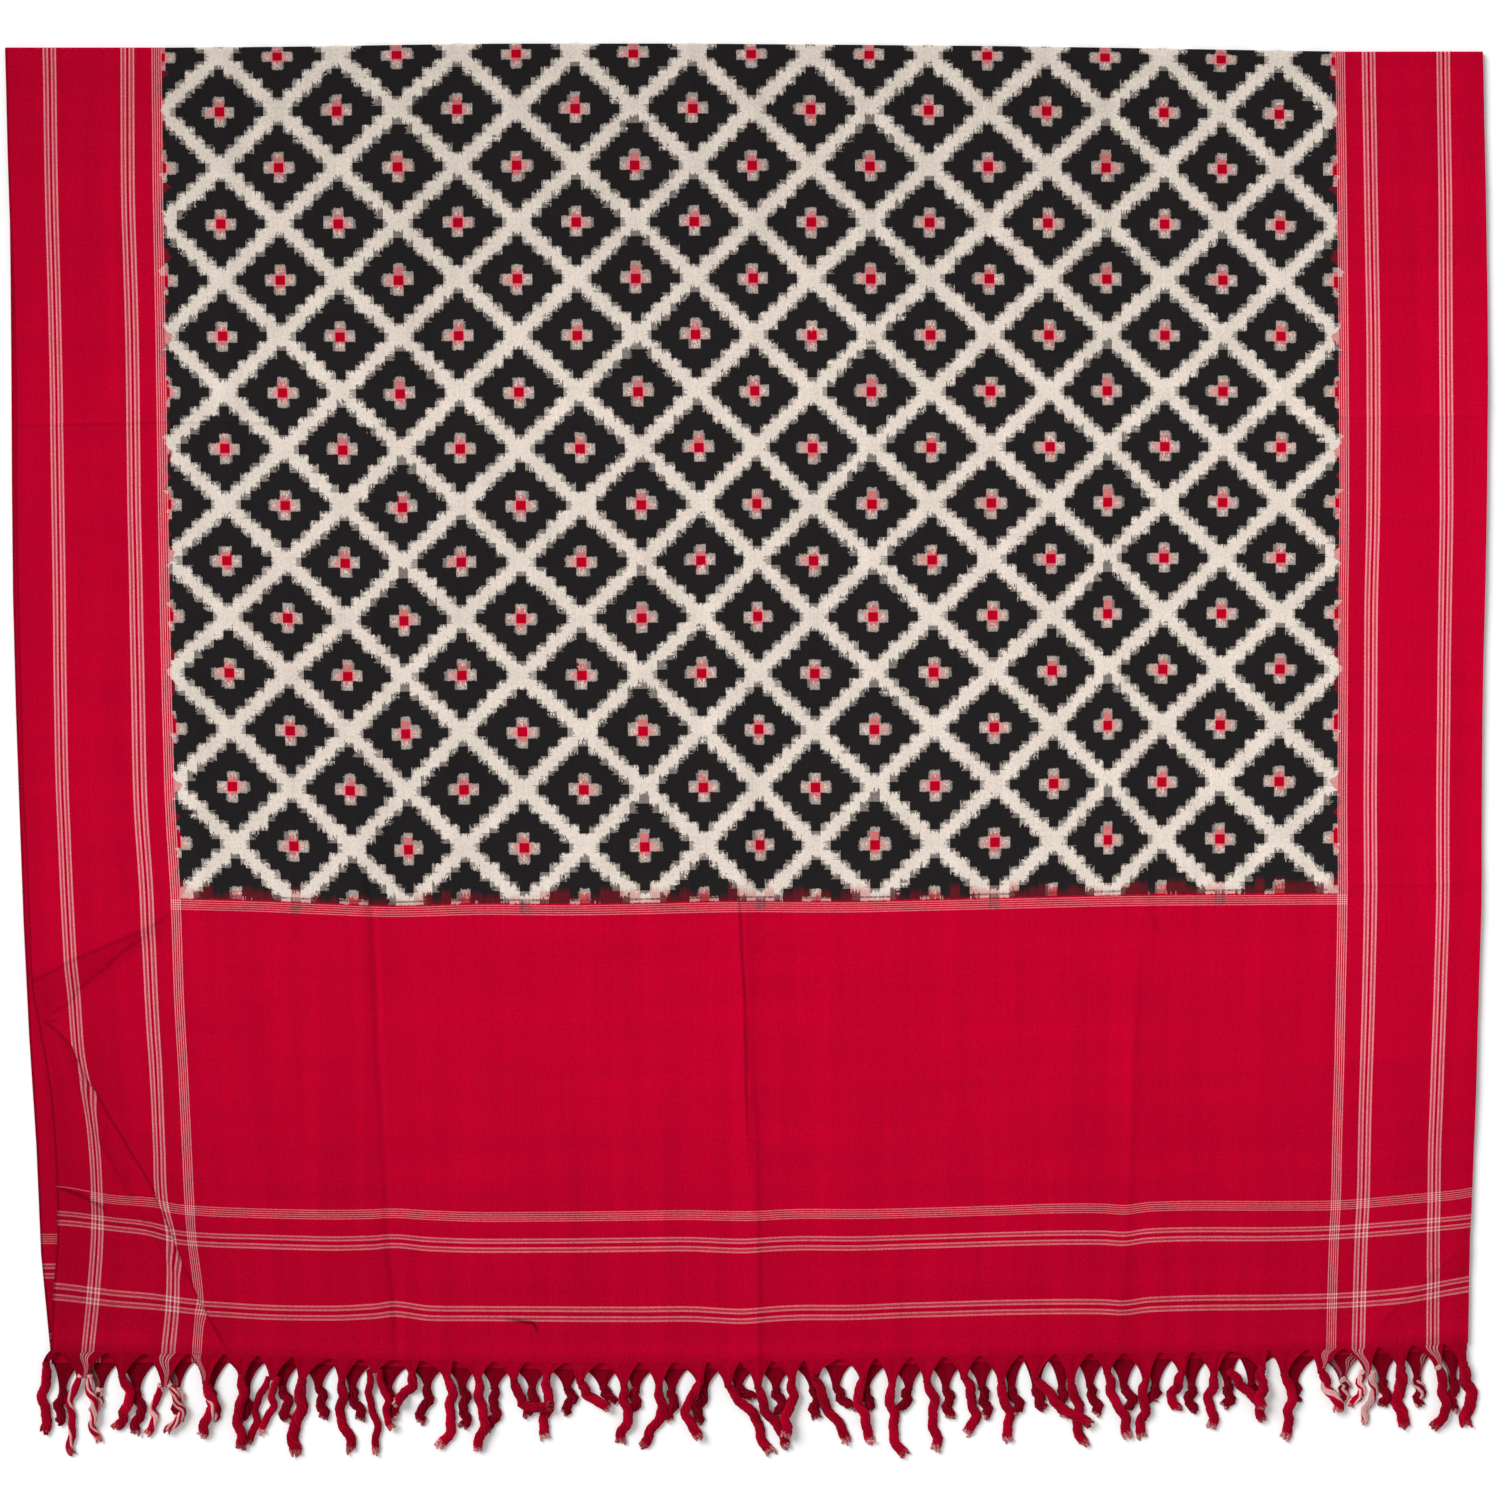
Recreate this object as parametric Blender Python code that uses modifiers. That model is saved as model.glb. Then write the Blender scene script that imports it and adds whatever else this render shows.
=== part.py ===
"""A double-ikat cotton cloth folded once in half, with a knotted fringe at both ends.

The cloth lies flat on a surface. Its back layer rests on the surface, the fold is at the
far side and the front layer comes back over the back one. The two fringed ends lie
together at the near side. +X runs along the fold, +Y points from the fringe to the fold,
+Z is up, and the origin is on the underside, at the middle of the folded cloth.

Outlines, creases and tassels are read off the photograph, so their tables hold pixels of
its 1500 by 1500 frame: "across" from its left side and "down" from its top.
"""

import math
from collections import namedtuple

import bmesh
import bpy
from mathutils import Vector

# Driving dimensions, in metres
FOLD_LENGTH = 1.120
SHEET_THICKNESS = 0.0014
LAYER_GAP = 0.0020
STRIP_DEPTH = 0.004
STRIP_CLEARANCE = 0.0007
STRAND_CLEARANCE = 0.0006
KNOT_HEIGHT = 0.0028
STRAND_HEIGHT = 0.0022
KNOT_WIDTH = 0.0066
STRAND_WIDTH = 0.0060
PLY_KNOT_WIDTH = 0.0042
PLY_WIDTH = 0.0042
TOP_TO_BASE = 0.62
WIDE_TO_STRAND = 1.25
TIP_TO_STRAND = 0.55
TAPER_FROM = 0.6

# The photograph's scale and the pixel under the origin
FOLD_PIXELS = 1478
PIXEL = FOLD_LENGTH / FOLD_PIXELS
MIDDLE_ACROSS = 744
MIDDLE_DOWN = 701

# Resolution of the solids
BEND_STEPS = 6
FRONT_STRAND_STEPS = 6
BACK_STRAND_STEPS = 4
PATH_SAMPLES = 48
SUB_STEPS = 5

BEND_RADIUS = SHEET_THICKNESS + LAYER_GAP / 2
FRONT_BASE = SHEET_THICKNESS + LAYER_GAP
FRONT_TOP = FRONT_BASE + SHEET_THICKNESS

Side = namedtuple("Side", "down across")
Level = namedtuple("Level", "across down")
Crease = namedtuple("Crease", "name height left_reach right_reach start_fade end_fade path")
Tassel = namedtuple("Tassel", "knot_across knot_down bend_across bend_down tip_across tip_down is_wide")
Section = namedtuple("Section", "place heading width floor height")
Cover = namedtuple("Cover", "place half_width top gather_of")

FRONT_LEFT_SIDE = [
    Side(46, 5), Side(160, 11), Side(415, 15), Side(678, 19), Side(819, 24), Side(914, 29),
    Side(1000, 33), Side(1025, 40), Side(1070, 46), Side(1129, 55), Side(1223, 57), Side(1354, 51),
]
BACK_LEFT_SIDE = [
    Side(46, 5), Side(160, 8), Side(330, 10), Side(600, 12), Side(800, 18), Side(1000, 27),
    Side(1140, 37), Side(1271, 45), Side(1380, 51),
]
RIGHT_SIDE = [
    Side(46, 1483), Side(230, 1487), Side(450, 1488), Side(659, 1483), Side(914, 1481),
    Side(1080, 1477), Side(1198, 1472), Side(1277, 1469), Side(1380, 1467),
]
FOLD_LINE = [
    Level(5, 47), Level(165, 47), Level(500, 43), Level(900, 44), Level(1100, 47),
    Level(1340, 51), Level(1483, 51),
]
FRONT_HEM = [
    Level(50, 1352), Level(220, 1354), Level(370, 1360), Level(590, 1363), Level(750, 1362),
    Level(880, 1357), Level(1070, 1354), Level(1230, 1352), Level(1340, 1349), Level(1468, 1343),
]
BACK_HEM_DROP_LEFT = 14
BACK_HEM_DROP = 8
BACK_HEM_EVEN_FROM = 260
STRIP_LEFT = 51
STRIP_RIGHT = 1467
PLY_PIXELS = 12
PLEAT_FROM_SIDE = 24

# The pleat's path comes first: its right-hand cloth stands up over the left-hand cloth.
# Each path runs down or across the front layer, with fades in pixels along it.
PLEAT = Crease("lower left pleat", 0.0046, 5, 34, 60, 60, [
    (40, 1018), (70, 1042), (90, 1085), (110, 1125), (130, 1165), (165, 1225), (180, 1265), (222, 1350),
])
LEFT_TROUGH = Crease("left trough", -0.0014, 20, 20, 90, 1, [
    (366, 846), (375, 880), (384, 1000), (391, 1210), (396, 1360),
])
MIDDLE_RIDGE = Crease("middle ridge", 0.0034, 26, 16, 260, 1, [
    (748, 560), (743, 870), (747, 1080), (753, 1245), (758, 1362),
])
RIGHT_RIDGE = Crease("right ridge", 0.0028, 22, 15, 110, 1, [
    (1139, 905), (1137, 1000), (1131, 1130), (1124, 1250), (1119, 1354),
])
UPPER_CROSS_FOLD = Crease("upper cross fold", 0.0020, 17, 17, 40, 40, [
    (20, 427), (400, 426), (744, 424), (1100, 421), (1484, 419),
])
LOWER_CROSS_FOLD = Crease("lower cross fold", 0.0018, 16, 16, 60, 40, [
    (40, 934), (172, 911), (380, 893), (744, 891), (1140, 888), (1478, 884),
])
CREASES = [PLEAT, LEFT_TROUGH, MIDDLE_RIDGE, RIGHT_RIDGE, UPPER_CROSS_FOLD, LOWER_CROSS_FOLD]

# Columns of the cloth's grid: offsets in pixels either side of each upright crease, and the
# number of plain columns between two creases. The rows are pixels down the front layer.
COLUMN_GROUPS = [(PLEAT, (-12, -5, 0, 12, 34)), (LEFT_TROUGH, (-20, -8, 0, 8, 20)),
                 (MIDDLE_RIDGE, (-26, -10, 0, 7, 16)), (RIGHT_RIDGE, (-22, -9, 0, 6, 15))]
PLAIN_COLUMNS = (1, 4, 4, 4, 4)
FRONT_ROWS = (120, 240, 360, 407, 424, 441, 540, 650, 760, 840, 875, 891, 907, 930, 960, 990, 1018,
              1042, 1065, 1085, 1105, 1125, 1145, 1165, 1185, 1205, 1225, 1250, 1280, 1310, 1335)
BACK_ROWS = (1200, 800, 400, 120)

# Front tassels from left to right. A later row lies over an earlier one where they cross.
FRONT_TASSELS = [
    Tassel(46, 1364, 44, 1396, 44, 1434, False), Tassel(80, 1376, 70, 1412, 74, 1457, False),
    Tassel(90, 1376, 93, 1412, 97, 1444, False), Tassel(122, 1376, 127, 1410, 111, 1431, False),
    Tassel(160, 1385, 153, 1415, 148, 1436, False), Tassel(170, 1385, 180, 1413, 166, 1434, False),
    Tassel(206, 1382, 211, 1403, 198, 1438, False), Tassel(242, 1376, 240, 1412, 239, 1452, False),
    Tassel(268, 1378, 256, 1412, 249, 1448, False), Tassel(278, 1378, 270, 1408, 262, 1436, False),
    Tassel(302, 1381, 297, 1420, 291, 1458, True), Tassel(342, 1380, 341, 1405, 353, 1455, False),
    Tassel(369, 1371, 372, 1405, 378, 1458, False), Tassel(380, 1371, 386, 1402, 392, 1430, False),
    Tassel(412, 1373, 408, 1391, 391, 1402, False), Tassel(447, 1377, 452, 1402, 439, 1450, False),
    Tassel(478, 1378, 482, 1404, 478, 1455, False), Tassel(547, 1376, 547, 1405, 543, 1441, False),
    Tassel(514, 1380, 524, 1403, 552, 1405, False), Tassel(580, 1381, 593, 1399, 613, 1409, False),
    Tassel(624, 1385, 626, 1419, 620, 1445, False), Tassel(659, 1386, 656, 1425, 638, 1450, False),
    Tassel(700, 1382, 688, 1415, 700, 1441, False), Tassel(758, 1387, 770, 1415, 792, 1450, False),
    Tassel(728, 1385, 750, 1413, 771, 1457, False), Tassel(792, 1380, 790, 1406, 783, 1438, False),
    Tassel(813, 1376, 828, 1406, 848, 1446, False), Tassel(863, 1377, 861, 1410, 876, 1444, False),
    Tassel(892, 1385, 893, 1424, 904, 1458, False), Tassel(927, 1381, 934, 1412, 934, 1453, False),
    Tassel(964, 1377, 974, 1415, 966, 1436, False), Tassel(1001, 1380, 1007, 1410, 1010, 1444, False),
    Tassel(1071, 1381, 1077, 1409, 1082, 1448, False), Tassel(1035, 1377, 1057, 1402, 1094, 1427, False),
    Tassel(1107, 1372, 1117, 1402, 1131, 1440, False), Tassel(1146, 1380, 1143, 1410, 1143, 1440, False),
    Tassel(1182, 1373, 1174, 1394, 1175, 1412, False), Tassel(1214, 1374, 1211, 1402, 1213, 1430, False),
    Tassel(1230, 1372, 1249, 1392, 1266, 1423, False), Tassel(1262, 1368, 1261, 1388, 1262, 1409, False),
    Tassel(1284, 1374, 1291, 1402, 1282, 1440, False), Tassel(1321, 1371, 1331, 1392, 1341, 1413, False),
    Tassel(1362, 1372, 1360, 1394, 1350, 1408, False), Tassel(1373, 1372, 1372, 1396, 1362, 1427, False),
    Tassel(1401, 1368, 1400, 1396, 1404, 1430, True), Tassel(1438, 1367, 1445, 1396, 1436, 1430, False),
    Tassel(1463, 1364, 1470, 1396, 1466, 1429, True),
]
# Back tassels, which show between the front ones and below them.
BACK_TASSELS = [
    Tassel(62, 1390, 60, 1404, 58, 1424, False), Tassel(99, 1390, 97, 1400, 95, 1412, False),
    Tassel(136, 1390, 139, 1406, 133, 1436, False), Tassel(176, 1390, 178, 1404, 176, 1422, False),
    Tassel(210, 1389, 213, 1402, 214, 1420, False), Tassel(246, 1388, 246, 1402, 243, 1424, False),
    Tassel(282, 1388, 286, 1404, 284, 1424, False), Tassel(318, 1388, 322, 1402, 321, 1420, False),
    Tassel(352, 1388, 356, 1404, 362, 1422, False), Tassel(388, 1388, 393, 1402, 397, 1418, False),
    Tassel(427, 1386, 426, 1402, 416, 1424, False), Tassel(462, 1388, 465, 1406, 462, 1430, False),
    Tassel(494, 1388, 495, 1408, 488, 1431, False), Tassel(532, 1388, 533, 1402, 527, 1418, False),
    Tassel(567, 1389, 571, 1402, 560, 1414, False), Tassel(603, 1388, 608, 1396, 612, 1404, False),
    Tassel(636, 1389, 635, 1402, 633, 1414, False), Tassel(672, 1390, 672, 1406, 667, 1423, False),
    Tassel(704, 1390, 700, 1406, 696, 1424, False), Tassel(738, 1388, 746, 1394, 756, 1400, False),
    Tassel(776, 1388, 780, 1402, 781, 1418, False), Tassel(813, 1388, 816, 1402, 814, 1420, False),
    Tassel(836, 1388, 842, 1398, 851, 1410, False), Tassel(866, 1388, 868, 1400, 870, 1412, False),
    Tassel(909, 1389, 906, 1400, 901, 1414, False), Tassel(946, 1388, 949, 1402, 948, 1420, False),
    Tassel(982, 1388, 986, 1402, 985, 1418, False), Tassel(1012, 1388, 1017, 1402, 1021, 1415, False),
    Tassel(1036, 1388, 1039, 1398, 1044, 1410, False), Tassel(1062, 1388, 1062, 1402, 1064, 1419, False),
    Tassel(1090, 1386, 1095, 1400, 1097, 1416, False), Tassel(1124, 1386, 1131, 1398, 1130, 1413, False),
    Tassel(1156, 1386, 1154, 1396, 1150, 1404, False), Tassel(1192, 1385, 1191, 1398, 1192, 1414, False),
    Tassel(1228, 1384, 1230, 1396, 1225, 1408, False), Tassel(1252, 1384, 1256, 1392, 1260, 1400, False),
    Tassel(1295, 1382, 1296, 1392, 1296, 1404, False), Tassel(1343, 1380, 1346, 1392, 1339, 1401, False),
    Tassel(1383, 1380, 1386, 1392, 1384, 1408, False), Tassel(1418, 1378, 1420, 1392, 1421, 1408, False),
    Tassel(1453, 1378, 1454, 1394, 1451, 1412, False),
]


def smooth_value(table, at):
    """Read a table of (position, value) rows with a smooth curve through its values."""
    if at <= table[0][0]:
        return table[0][1]
    if at >= table[-1][0]:
        return table[-1][1]
    low = max(index for index, row in enumerate(table[:-1]) if row[0] <= at)
    span = table[low + 1][0] - table[low][0]
    share = (at - table[low][0]) / span

    def slope(index):
        before, after = max(index - 1, 0), min(index + 1, len(table) - 1)
        return (table[after][1] - table[before][1]) / (table[after][0] - table[before][0])

    rise_low, rise_high = slope(low) * span, slope(low + 1) * span
    change = table[low + 1][1] - table[low][1]
    bend = rise_low + rise_high - 2 * change
    return table[low][1] + share * (rise_low + share * (3 * change - 2 * rise_low - rise_high + share * bend))


def to_metres(across, down):
    """Turn a pixel of the photograph into a place on the surface."""
    return (across - MIDDLE_ACROSS) * PIXEL, (MIDDLE_DOWN - down) * PIXEL


def front_hem_down(across):
    """Pixel row where the front fringe starts."""
    return smooth_value(FRONT_HEM, across)


def back_hem_down(across):
    """Pixel row where the back fringe starts, a little below the front one."""
    evenness = min(max(across / BACK_HEM_EVEN_FROM, 0), 1)
    drop = BACK_HEM_DROP_LEFT + (BACK_HEM_DROP - BACK_HEM_DROP_LEFT) * evenness
    return front_hem_down(across) + drop


def crease_lift(crease, across, down):
    """Height that one crease adds to the front layer at a pixel."""
    best = None
    run = 0.0
    for (x0, y0), (x1, y1) in zip(crease.path, crease.path[1:]):
        length = math.hypot(x1 - x0, y1 - y0)
        share = ((across - x0) * (x1 - x0) + (down - y0) * (y1 - y0)) / length ** 2
        share = min(max(share, 0), 1)
        away_x, away_y = across - x0 - share * (x1 - x0), down - y0 - share * (y1 - y0)
        distance = math.hypot(away_x, away_y)
        if best is None or distance < best[0]:
            side = (x1 - x0) * away_y - (y1 - y0) * away_x
            best = (distance, side, run + share * length)
        run += length
    distance, side, place = best
    reach = crease.left_reach if side > 0 else crease.right_reach
    if distance >= reach:
        return 0.0
    shape = (1 - (distance / reach) ** 2) ** 2
    start = min(place / crease.start_fade, 1)
    end = min((run - place) / crease.end_fade, 1)
    return crease.height * shape * math.sin(start * math.pi / 2) * math.sin(max(end, 0) * math.pi / 2)


def front_height(across, down):
    """Top of the front layer at a pixel: its level, its highest ridge and its deepest trough."""
    lifts = [crease_lift(crease, across, down) for crease in CREASES]
    return FRONT_TOP + max(lifts) + min(lifts)


def crease_across(crease, down):
    """Place of an upright crease at one row, held straight above and below its path."""
    return smooth_value([(y, x) for x, y in crease.path], down)


def column_places(down, left_side):
    """Pixel places across the cloth, from its left side to its right, at one row."""
    left = smooth_value(left_side, down)
    right = smooth_value(RIGHT_SIDE, down)
    anchors = [(left,)]
    for crease, offsets in COLUMN_GROUPS:
        centre = crease_across(crease, down)
        if crease is PLEAT:
            centre = max(centre, left + PLEAT_FROM_SIDE)
        anchors.append(tuple(centre + offset for offset in offsets))
    anchors.append((right,))
    places = []
    for count, before, after in zip(PLAIN_COLUMNS, anchors, anchors[1:]):
        places.extend(before)
        step = (after[0] - before[-1]) / (count + 1)
        places.extend(before[-1] + step * number for number in range(1, count + 1))
    places.extend(anchors[-1])
    return places


def cloth_rows():
    """Rows of the outer surface from the back hem, round the fold, to the front hem."""
    rows = [("back", None)]
    rows.extend(("back", down) for down in BACK_ROWS)
    rows.extend(("bend", step * math.pi / BEND_STEPS - math.pi / 2) for step in range(BEND_STEPS + 1))
    rows.extend(("front", down) for down in FRONT_ROWS)
    rows.append(("front", None))
    return rows


def cloth_point(layer, value, column):
    """Place of one point of the cloth's outer surface."""
    edge_pixels = (STRIP_DEPTH + STRIP_CLEARANCE) / PIXEL
    if layer == "bend":
        fold_down = FOLD_LINE[0].down
        across = column_places(fold_down, FRONT_LEFT_SIDE)[column]
        x, fold_y = to_metres(across, smooth_value(FOLD_LINE, across))
        y = fold_y - BEND_RADIUS + BEND_RADIUS * math.cos(value)
        return Vector((x, y, BEND_RADIUS + BEND_RADIUS * math.sin(value)))
    side = BACK_LEFT_SIDE if layer == "back" else FRONT_LEFT_SIDE
    hem = back_hem_down if layer == "back" else front_hem_down
    if value is None:
        across = column_places(hem(MIDDLE_ACROSS), side)[column]
        down = hem(across) - edge_pixels
    else:
        across = column_places(value, side)[column]
        down = value
    x, y = to_metres(across, down)
    return Vector((x, y, 0.0 if layer == "back" else front_height(across, down)))


def folded_cloth(material, collection):
    """The whole cloth: one sheet, doubled over, as an open surface given its thickness."""
    rows = cloth_rows()
    column_count = len(column_places(MIDDLE_DOWN, FRONT_LEFT_SIDE))
    grid = bmesh.new()
    bmesh.ops.create_grid(grid, x_segments=column_count - 1, y_segments=len(rows) - 1, size=1)
    for vert in grid.verts:
        column = round((vert.co.x + 1) / 2 * (column_count - 1))
        layer, value = rows[round((vert.co.y + 1) / 2 * (len(rows) - 1))]
        vert.co = cloth_point(layer, value, column)
    grid.normal_update()
    underside = min(grid.faces, key=lambda face: face.calc_center_median().z)
    if underside.normal.z > 0:
        bmesh.ops.reverse_faces(grid, faces=grid.faces)
    cloth = new_object("folded_cloth", grid, material, collection)
    thickness = cloth.modifiers.new("Sheet thickness", "SOLIDIFY")
    thickness.thickness = SHEET_THICKNESS
    thickness.offset = -1
    thickness.use_even_offset = True
    thickness.use_quality_normals = True
    return cloth


def strand_path(tassel):
    """Closely spaced points along a strand, from its knot through its bend to its tip, in metres."""
    knot = Vector(to_metres(tassel.knot_across, tassel.knot_down))
    bend = Vector(to_metres(tassel.bend_across, tassel.bend_down))
    tip = Vector(to_metres(tassel.tip_across, tassel.tip_down))
    middle_share = (bend - knot).length / ((bend - knot).length + (tip - bend).length)
    handle = (bend - knot * (1 - middle_share) ** 2 - tip * middle_share ** 2)
    handle /= 2 * middle_share * (1 - middle_share)
    path = []
    for sample in range(PATH_SAMPLES + 1):
        share = sample / PATH_SAMPLES
        path.append(knot * (1 - share) ** 2 + handle * 2 * share * (1 - share) + tip * share ** 2)
    return path


def even_stations(path, steps):
    """Points at even distances along a finely sampled path, with their directions."""
    runs = [0.0]
    for start, end in zip(path, path[1:]):
        runs.append(runs[-1] + (end - start).length)
    stations = []
    for step in range(steps + 1):
        target = runs[-1] * step / steps
        index = min(max(sum(1 for run in runs if run <= target) - 1, 0), len(path) - 2)
        share = (target - runs[index]) / (runs[index + 1] - runs[index])
        place = path[index].lerp(path[index + 1], share)
        stations.append((place, (path[index + 1] - path[index]).normalized()))
    return stations


def strand_stations(tassel, notch_left, notch_right, base, steps, is_ply):
    """Sections of one tassel from the strip to its tip: place, heading, width, floor, height."""
    knot_width = PLY_KNOT_WIDTH if is_ply else KNOT_WIDTH
    width = PLY_WIDTH if is_ply else STRAND_WIDTH
    if tassel.is_wide:
        width *= WIDE_TO_STRAND
    root = (notch_left + notch_right) / 2
    along = notch_right - notch_left
    sections = [Section(root, along.orthogonal().normalized(), along.length, base, SHEET_THICKNESS)]
    for step, (place, heading) in enumerate(even_stations(strand_path(tassel), steps)):
        share = step / steps
        taper = 1 - (1 - TIP_TO_STRAND) * max(share - TAPER_FROM, 0) / (1 - TAPER_FROM)
        size = (knot_width, KNOT_HEIGHT) if step == 0 else (width * taper, STRAND_HEIGHT * taper)
        sections.append(Section(place, heading, size[0], 0.0, size[1]))
    return sections


def between(first, second):
    """Small steps from one section to the next: place, half width and top."""
    for part in range(SUB_STEPS + 1):
        share = part / SUB_STEPS
        half_width = (first.width + (second.width - first.width) * share) / 2
        first_top, second_top = first.floor + first.height, second.floor + second.height
        yield first.place.lerp(second.place, share), half_width, first_top + (second_top - first_top) * share


def lift_over(sections, covered, name):
    """Raise a tassel's sections where it passes over what already lies there.

    The first stretch is the gather from the strip to the knot. Gathers of one fringe lie
    side by side, so they don't lift each other.
    """
    lifts = [0.0] * len(sections)
    for number, (first, second) in enumerate(zip(sections, sections[1:])):
        beside = name if number == 0 else None
        for place, half_width, _ in between(first, second):
            for cover in covered:
                if cover.gather_of is not None and cover.gather_of == beside:
                    continue
                if (place - cover.place).length < half_width + cover.half_width + STRAND_CLEARANCE:
                    need = cover.top + STRAND_CLEARANCE
                    lifts[number] = max(lifts[number], need)
                    lifts[number + 1] = max(lifts[number + 1], need)
    raised = [section._replace(floor=lift) for section, lift in zip(sections[1:], lifts[1:])]
    return sections[:1] + raised


def fringe(name, tassels, hem_down, base, steps, covered, material, collection):
    """A hem strip with its tassels: each is gathered to a knot and goes on as a strand.

    Every tassel is a loft of four-sided sections that starts as its share of the strip's
    outer side. covered lists what already lies on the surface, and gains these strands.
    """
    order = sorted(range(len(tassels)), key=lambda index: tassels[index].knot_across)
    knots = [tassels[index].knot_across for index in order]
    notches = [STRIP_LEFT] + [(a + b) / 2 for a, b in zip(knots, knots[1:])] + [STRIP_RIGHT]
    mesh = bmesh.new()
    strip = []
    for across in notches:
        x, outer_y = to_metres(across, hem_down(across))
        corners = [(outer_y + STRIP_DEPTH, 0), (outer_y, 0), (outer_y, 1), (outer_y + STRIP_DEPTH, 1)]
        strip.append([mesh.verts.new((x, y, base + SHEET_THICKNESS * top)) for y, top in corners])
    for left, right in zip(strip, strip[1:]):
        for side in (2, 3, 0):
            following = (side + 1) % 4
            mesh.faces.new((left[side], left[following], right[following], right[side]))
    mesh.faces.new(strip[0])
    mesh.faces.new(reversed(strip[-1]))
    for index, tassel in enumerate(tassels):
        position = order.index(index)
        left, right = strip[position], strip[position + 1]
        is_ply = any(abs(tassel.knot_across - other.knot_across) < PLY_PIXELS
                     for other in tassels if other is not tassel)
        sections = strand_stations(tassel, left[1].co.xy, right[1].co.xy, base, steps, is_ply)
        sections = lift_over(sections, covered, name)
        ring = [left[1], right[1], right[2], left[2]]
        for section in sections[1:]:
            aside = section.heading.orthogonal() * section.width / 2
            outline = [(1, 0), (-1, 0), (-TOP_TO_BASE, section.height), (TOP_TO_BASE, section.height)]
            following = []
            for reach, rise in outline:
                x, y = section.place - aside * reach
                following.append(mesh.verts.new((x, y, section.floor + rise)))
            for side in range(4):
                after = (side + 1) % 4
                mesh.faces.new((ring[side], ring[after], following[after], following[side]))
            ring = following
        mesh.faces.new(ring)
        for number, (first, second) in enumerate(zip(sections, sections[1:])):
            gather_of = name if number == 0 else None
            covered.extend(Cover(*step, gather_of) for step in between(first, second))
    bmesh.ops.recalc_face_normals(mesh, faces=mesh.faces)
    return new_object(name, mesh, material, collection)


def new_material(name, colour, roughness):
    """A plain Principled material in the piece's main colour."""
    material = bpy.data.materials.new(name)
    material.use_nodes = True
    shader = material.node_tree.nodes["Principled BSDF"]
    shader.inputs["Base Color"].default_value = (*colour, 1)
    shader.inputs["Roughness"].default_value = roughness
    shader.inputs["Metallic"].default_value = 0
    return material


def new_object(name, shape, material, collection):
    """Turn a built shape into a named object in the cloth's collection."""
    mesh = bpy.data.meshes.new(name)
    shape.to_mesh(mesh)
    shape.free()
    mesh.materials.append(material)
    piece = bpy.data.objects.new(name, mesh)
    collection.objects.link(piece)
    return piece


def build():
    """Clear the scene and make the cloth with its two fringes."""
    for old in list(bpy.data.objects):
        bpy.data.objects.remove(old, do_unlink=True)
    collection = bpy.data.collections.new("Folded ikat cloth")
    bpy.context.scene.collection.children.link(collection)
    cloth_red = new_material("Red ikat cotton", (0.50, 0.012, 0.030), 0.85)
    front_red = new_material("Red warp yarn", (0.46, 0.012, 0.030), 0.88)
    back_red = new_material("Dark red warp yarn", (0.36, 0.010, 0.024), 0.88)
    folded_cloth(cloth_red, collection)
    covered = []
    fringe("back_fringe", BACK_TASSELS, back_hem_down, 0.0, BACK_STRAND_STEPS,
           covered, back_red, collection)
    fringe("front_fringe", FRONT_TASSELS, front_hem_down, FRONT_BASE, FRONT_STRAND_STEPS,
           covered, front_red, collection)


build()
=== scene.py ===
"""The looks of a double-ikat cotton cloth, folded once in half and lying flat.

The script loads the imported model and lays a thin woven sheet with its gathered, knotted
fringes where the model has plain solids. +X runs along the fold, +Y points from the fringe
to the fold and +Z is up.

Outlines, creases and tassels hold pixels of the photograph's 1500 by 1500 frame: "across"
from its left side and "down" from its top. Places in the flat cloth use the same pixels as
a unit of length: "side" from the left selvedge and "along" from the fold.
"""

import math
from collections import namedtuple
from functools import reduce

import bmesh
import bpy
import numpy as np
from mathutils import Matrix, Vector


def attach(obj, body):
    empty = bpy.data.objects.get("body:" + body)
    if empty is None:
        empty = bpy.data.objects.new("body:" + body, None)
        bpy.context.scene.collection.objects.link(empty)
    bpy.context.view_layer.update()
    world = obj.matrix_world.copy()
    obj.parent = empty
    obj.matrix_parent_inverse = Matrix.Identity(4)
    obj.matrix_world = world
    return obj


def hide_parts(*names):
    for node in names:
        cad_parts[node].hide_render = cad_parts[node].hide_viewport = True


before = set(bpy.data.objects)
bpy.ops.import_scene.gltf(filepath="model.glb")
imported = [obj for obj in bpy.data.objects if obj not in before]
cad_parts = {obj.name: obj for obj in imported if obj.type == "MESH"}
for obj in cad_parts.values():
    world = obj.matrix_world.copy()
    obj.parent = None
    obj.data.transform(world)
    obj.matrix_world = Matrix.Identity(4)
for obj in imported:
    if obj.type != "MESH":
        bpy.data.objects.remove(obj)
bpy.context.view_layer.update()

PIXEL = 1.120 / 1478
MIDDLE_ACROSS = 744
MIDDLE_DOWN = 701
PHOTO_SIDE = 1500

# Sizes in metres
CLOTH_THICKNESS = 0.00055
FRONT_LEVEL = 0.0042
FRONT_BASE = 0.0034
KNOT_HEIGHT = 0.0028
STRAND_WIDTH = 0.0060
STRAND_HEIGHT = 0.0022
PLY_WIDTH = 0.0042
STRAND_CLEARANCE = 0.0006
GATHER_THICKNESS = 0.0006
WEB_HEIGHT = 0.0014

# The cloth, in pixels: its flat width, the hem's flat distance from the fold and how much
# less of it the back layer has, then places of the fold and the hem in the photograph
CLOTH_SIDE = 1478
HEM_ALONG = 1311
BACK_STRETCH = 23
FOLD_DOWN = 46
HEM_DOWN = 1352
HEM_LEFT = 51
HEM_RIGHT = 1467

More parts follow.
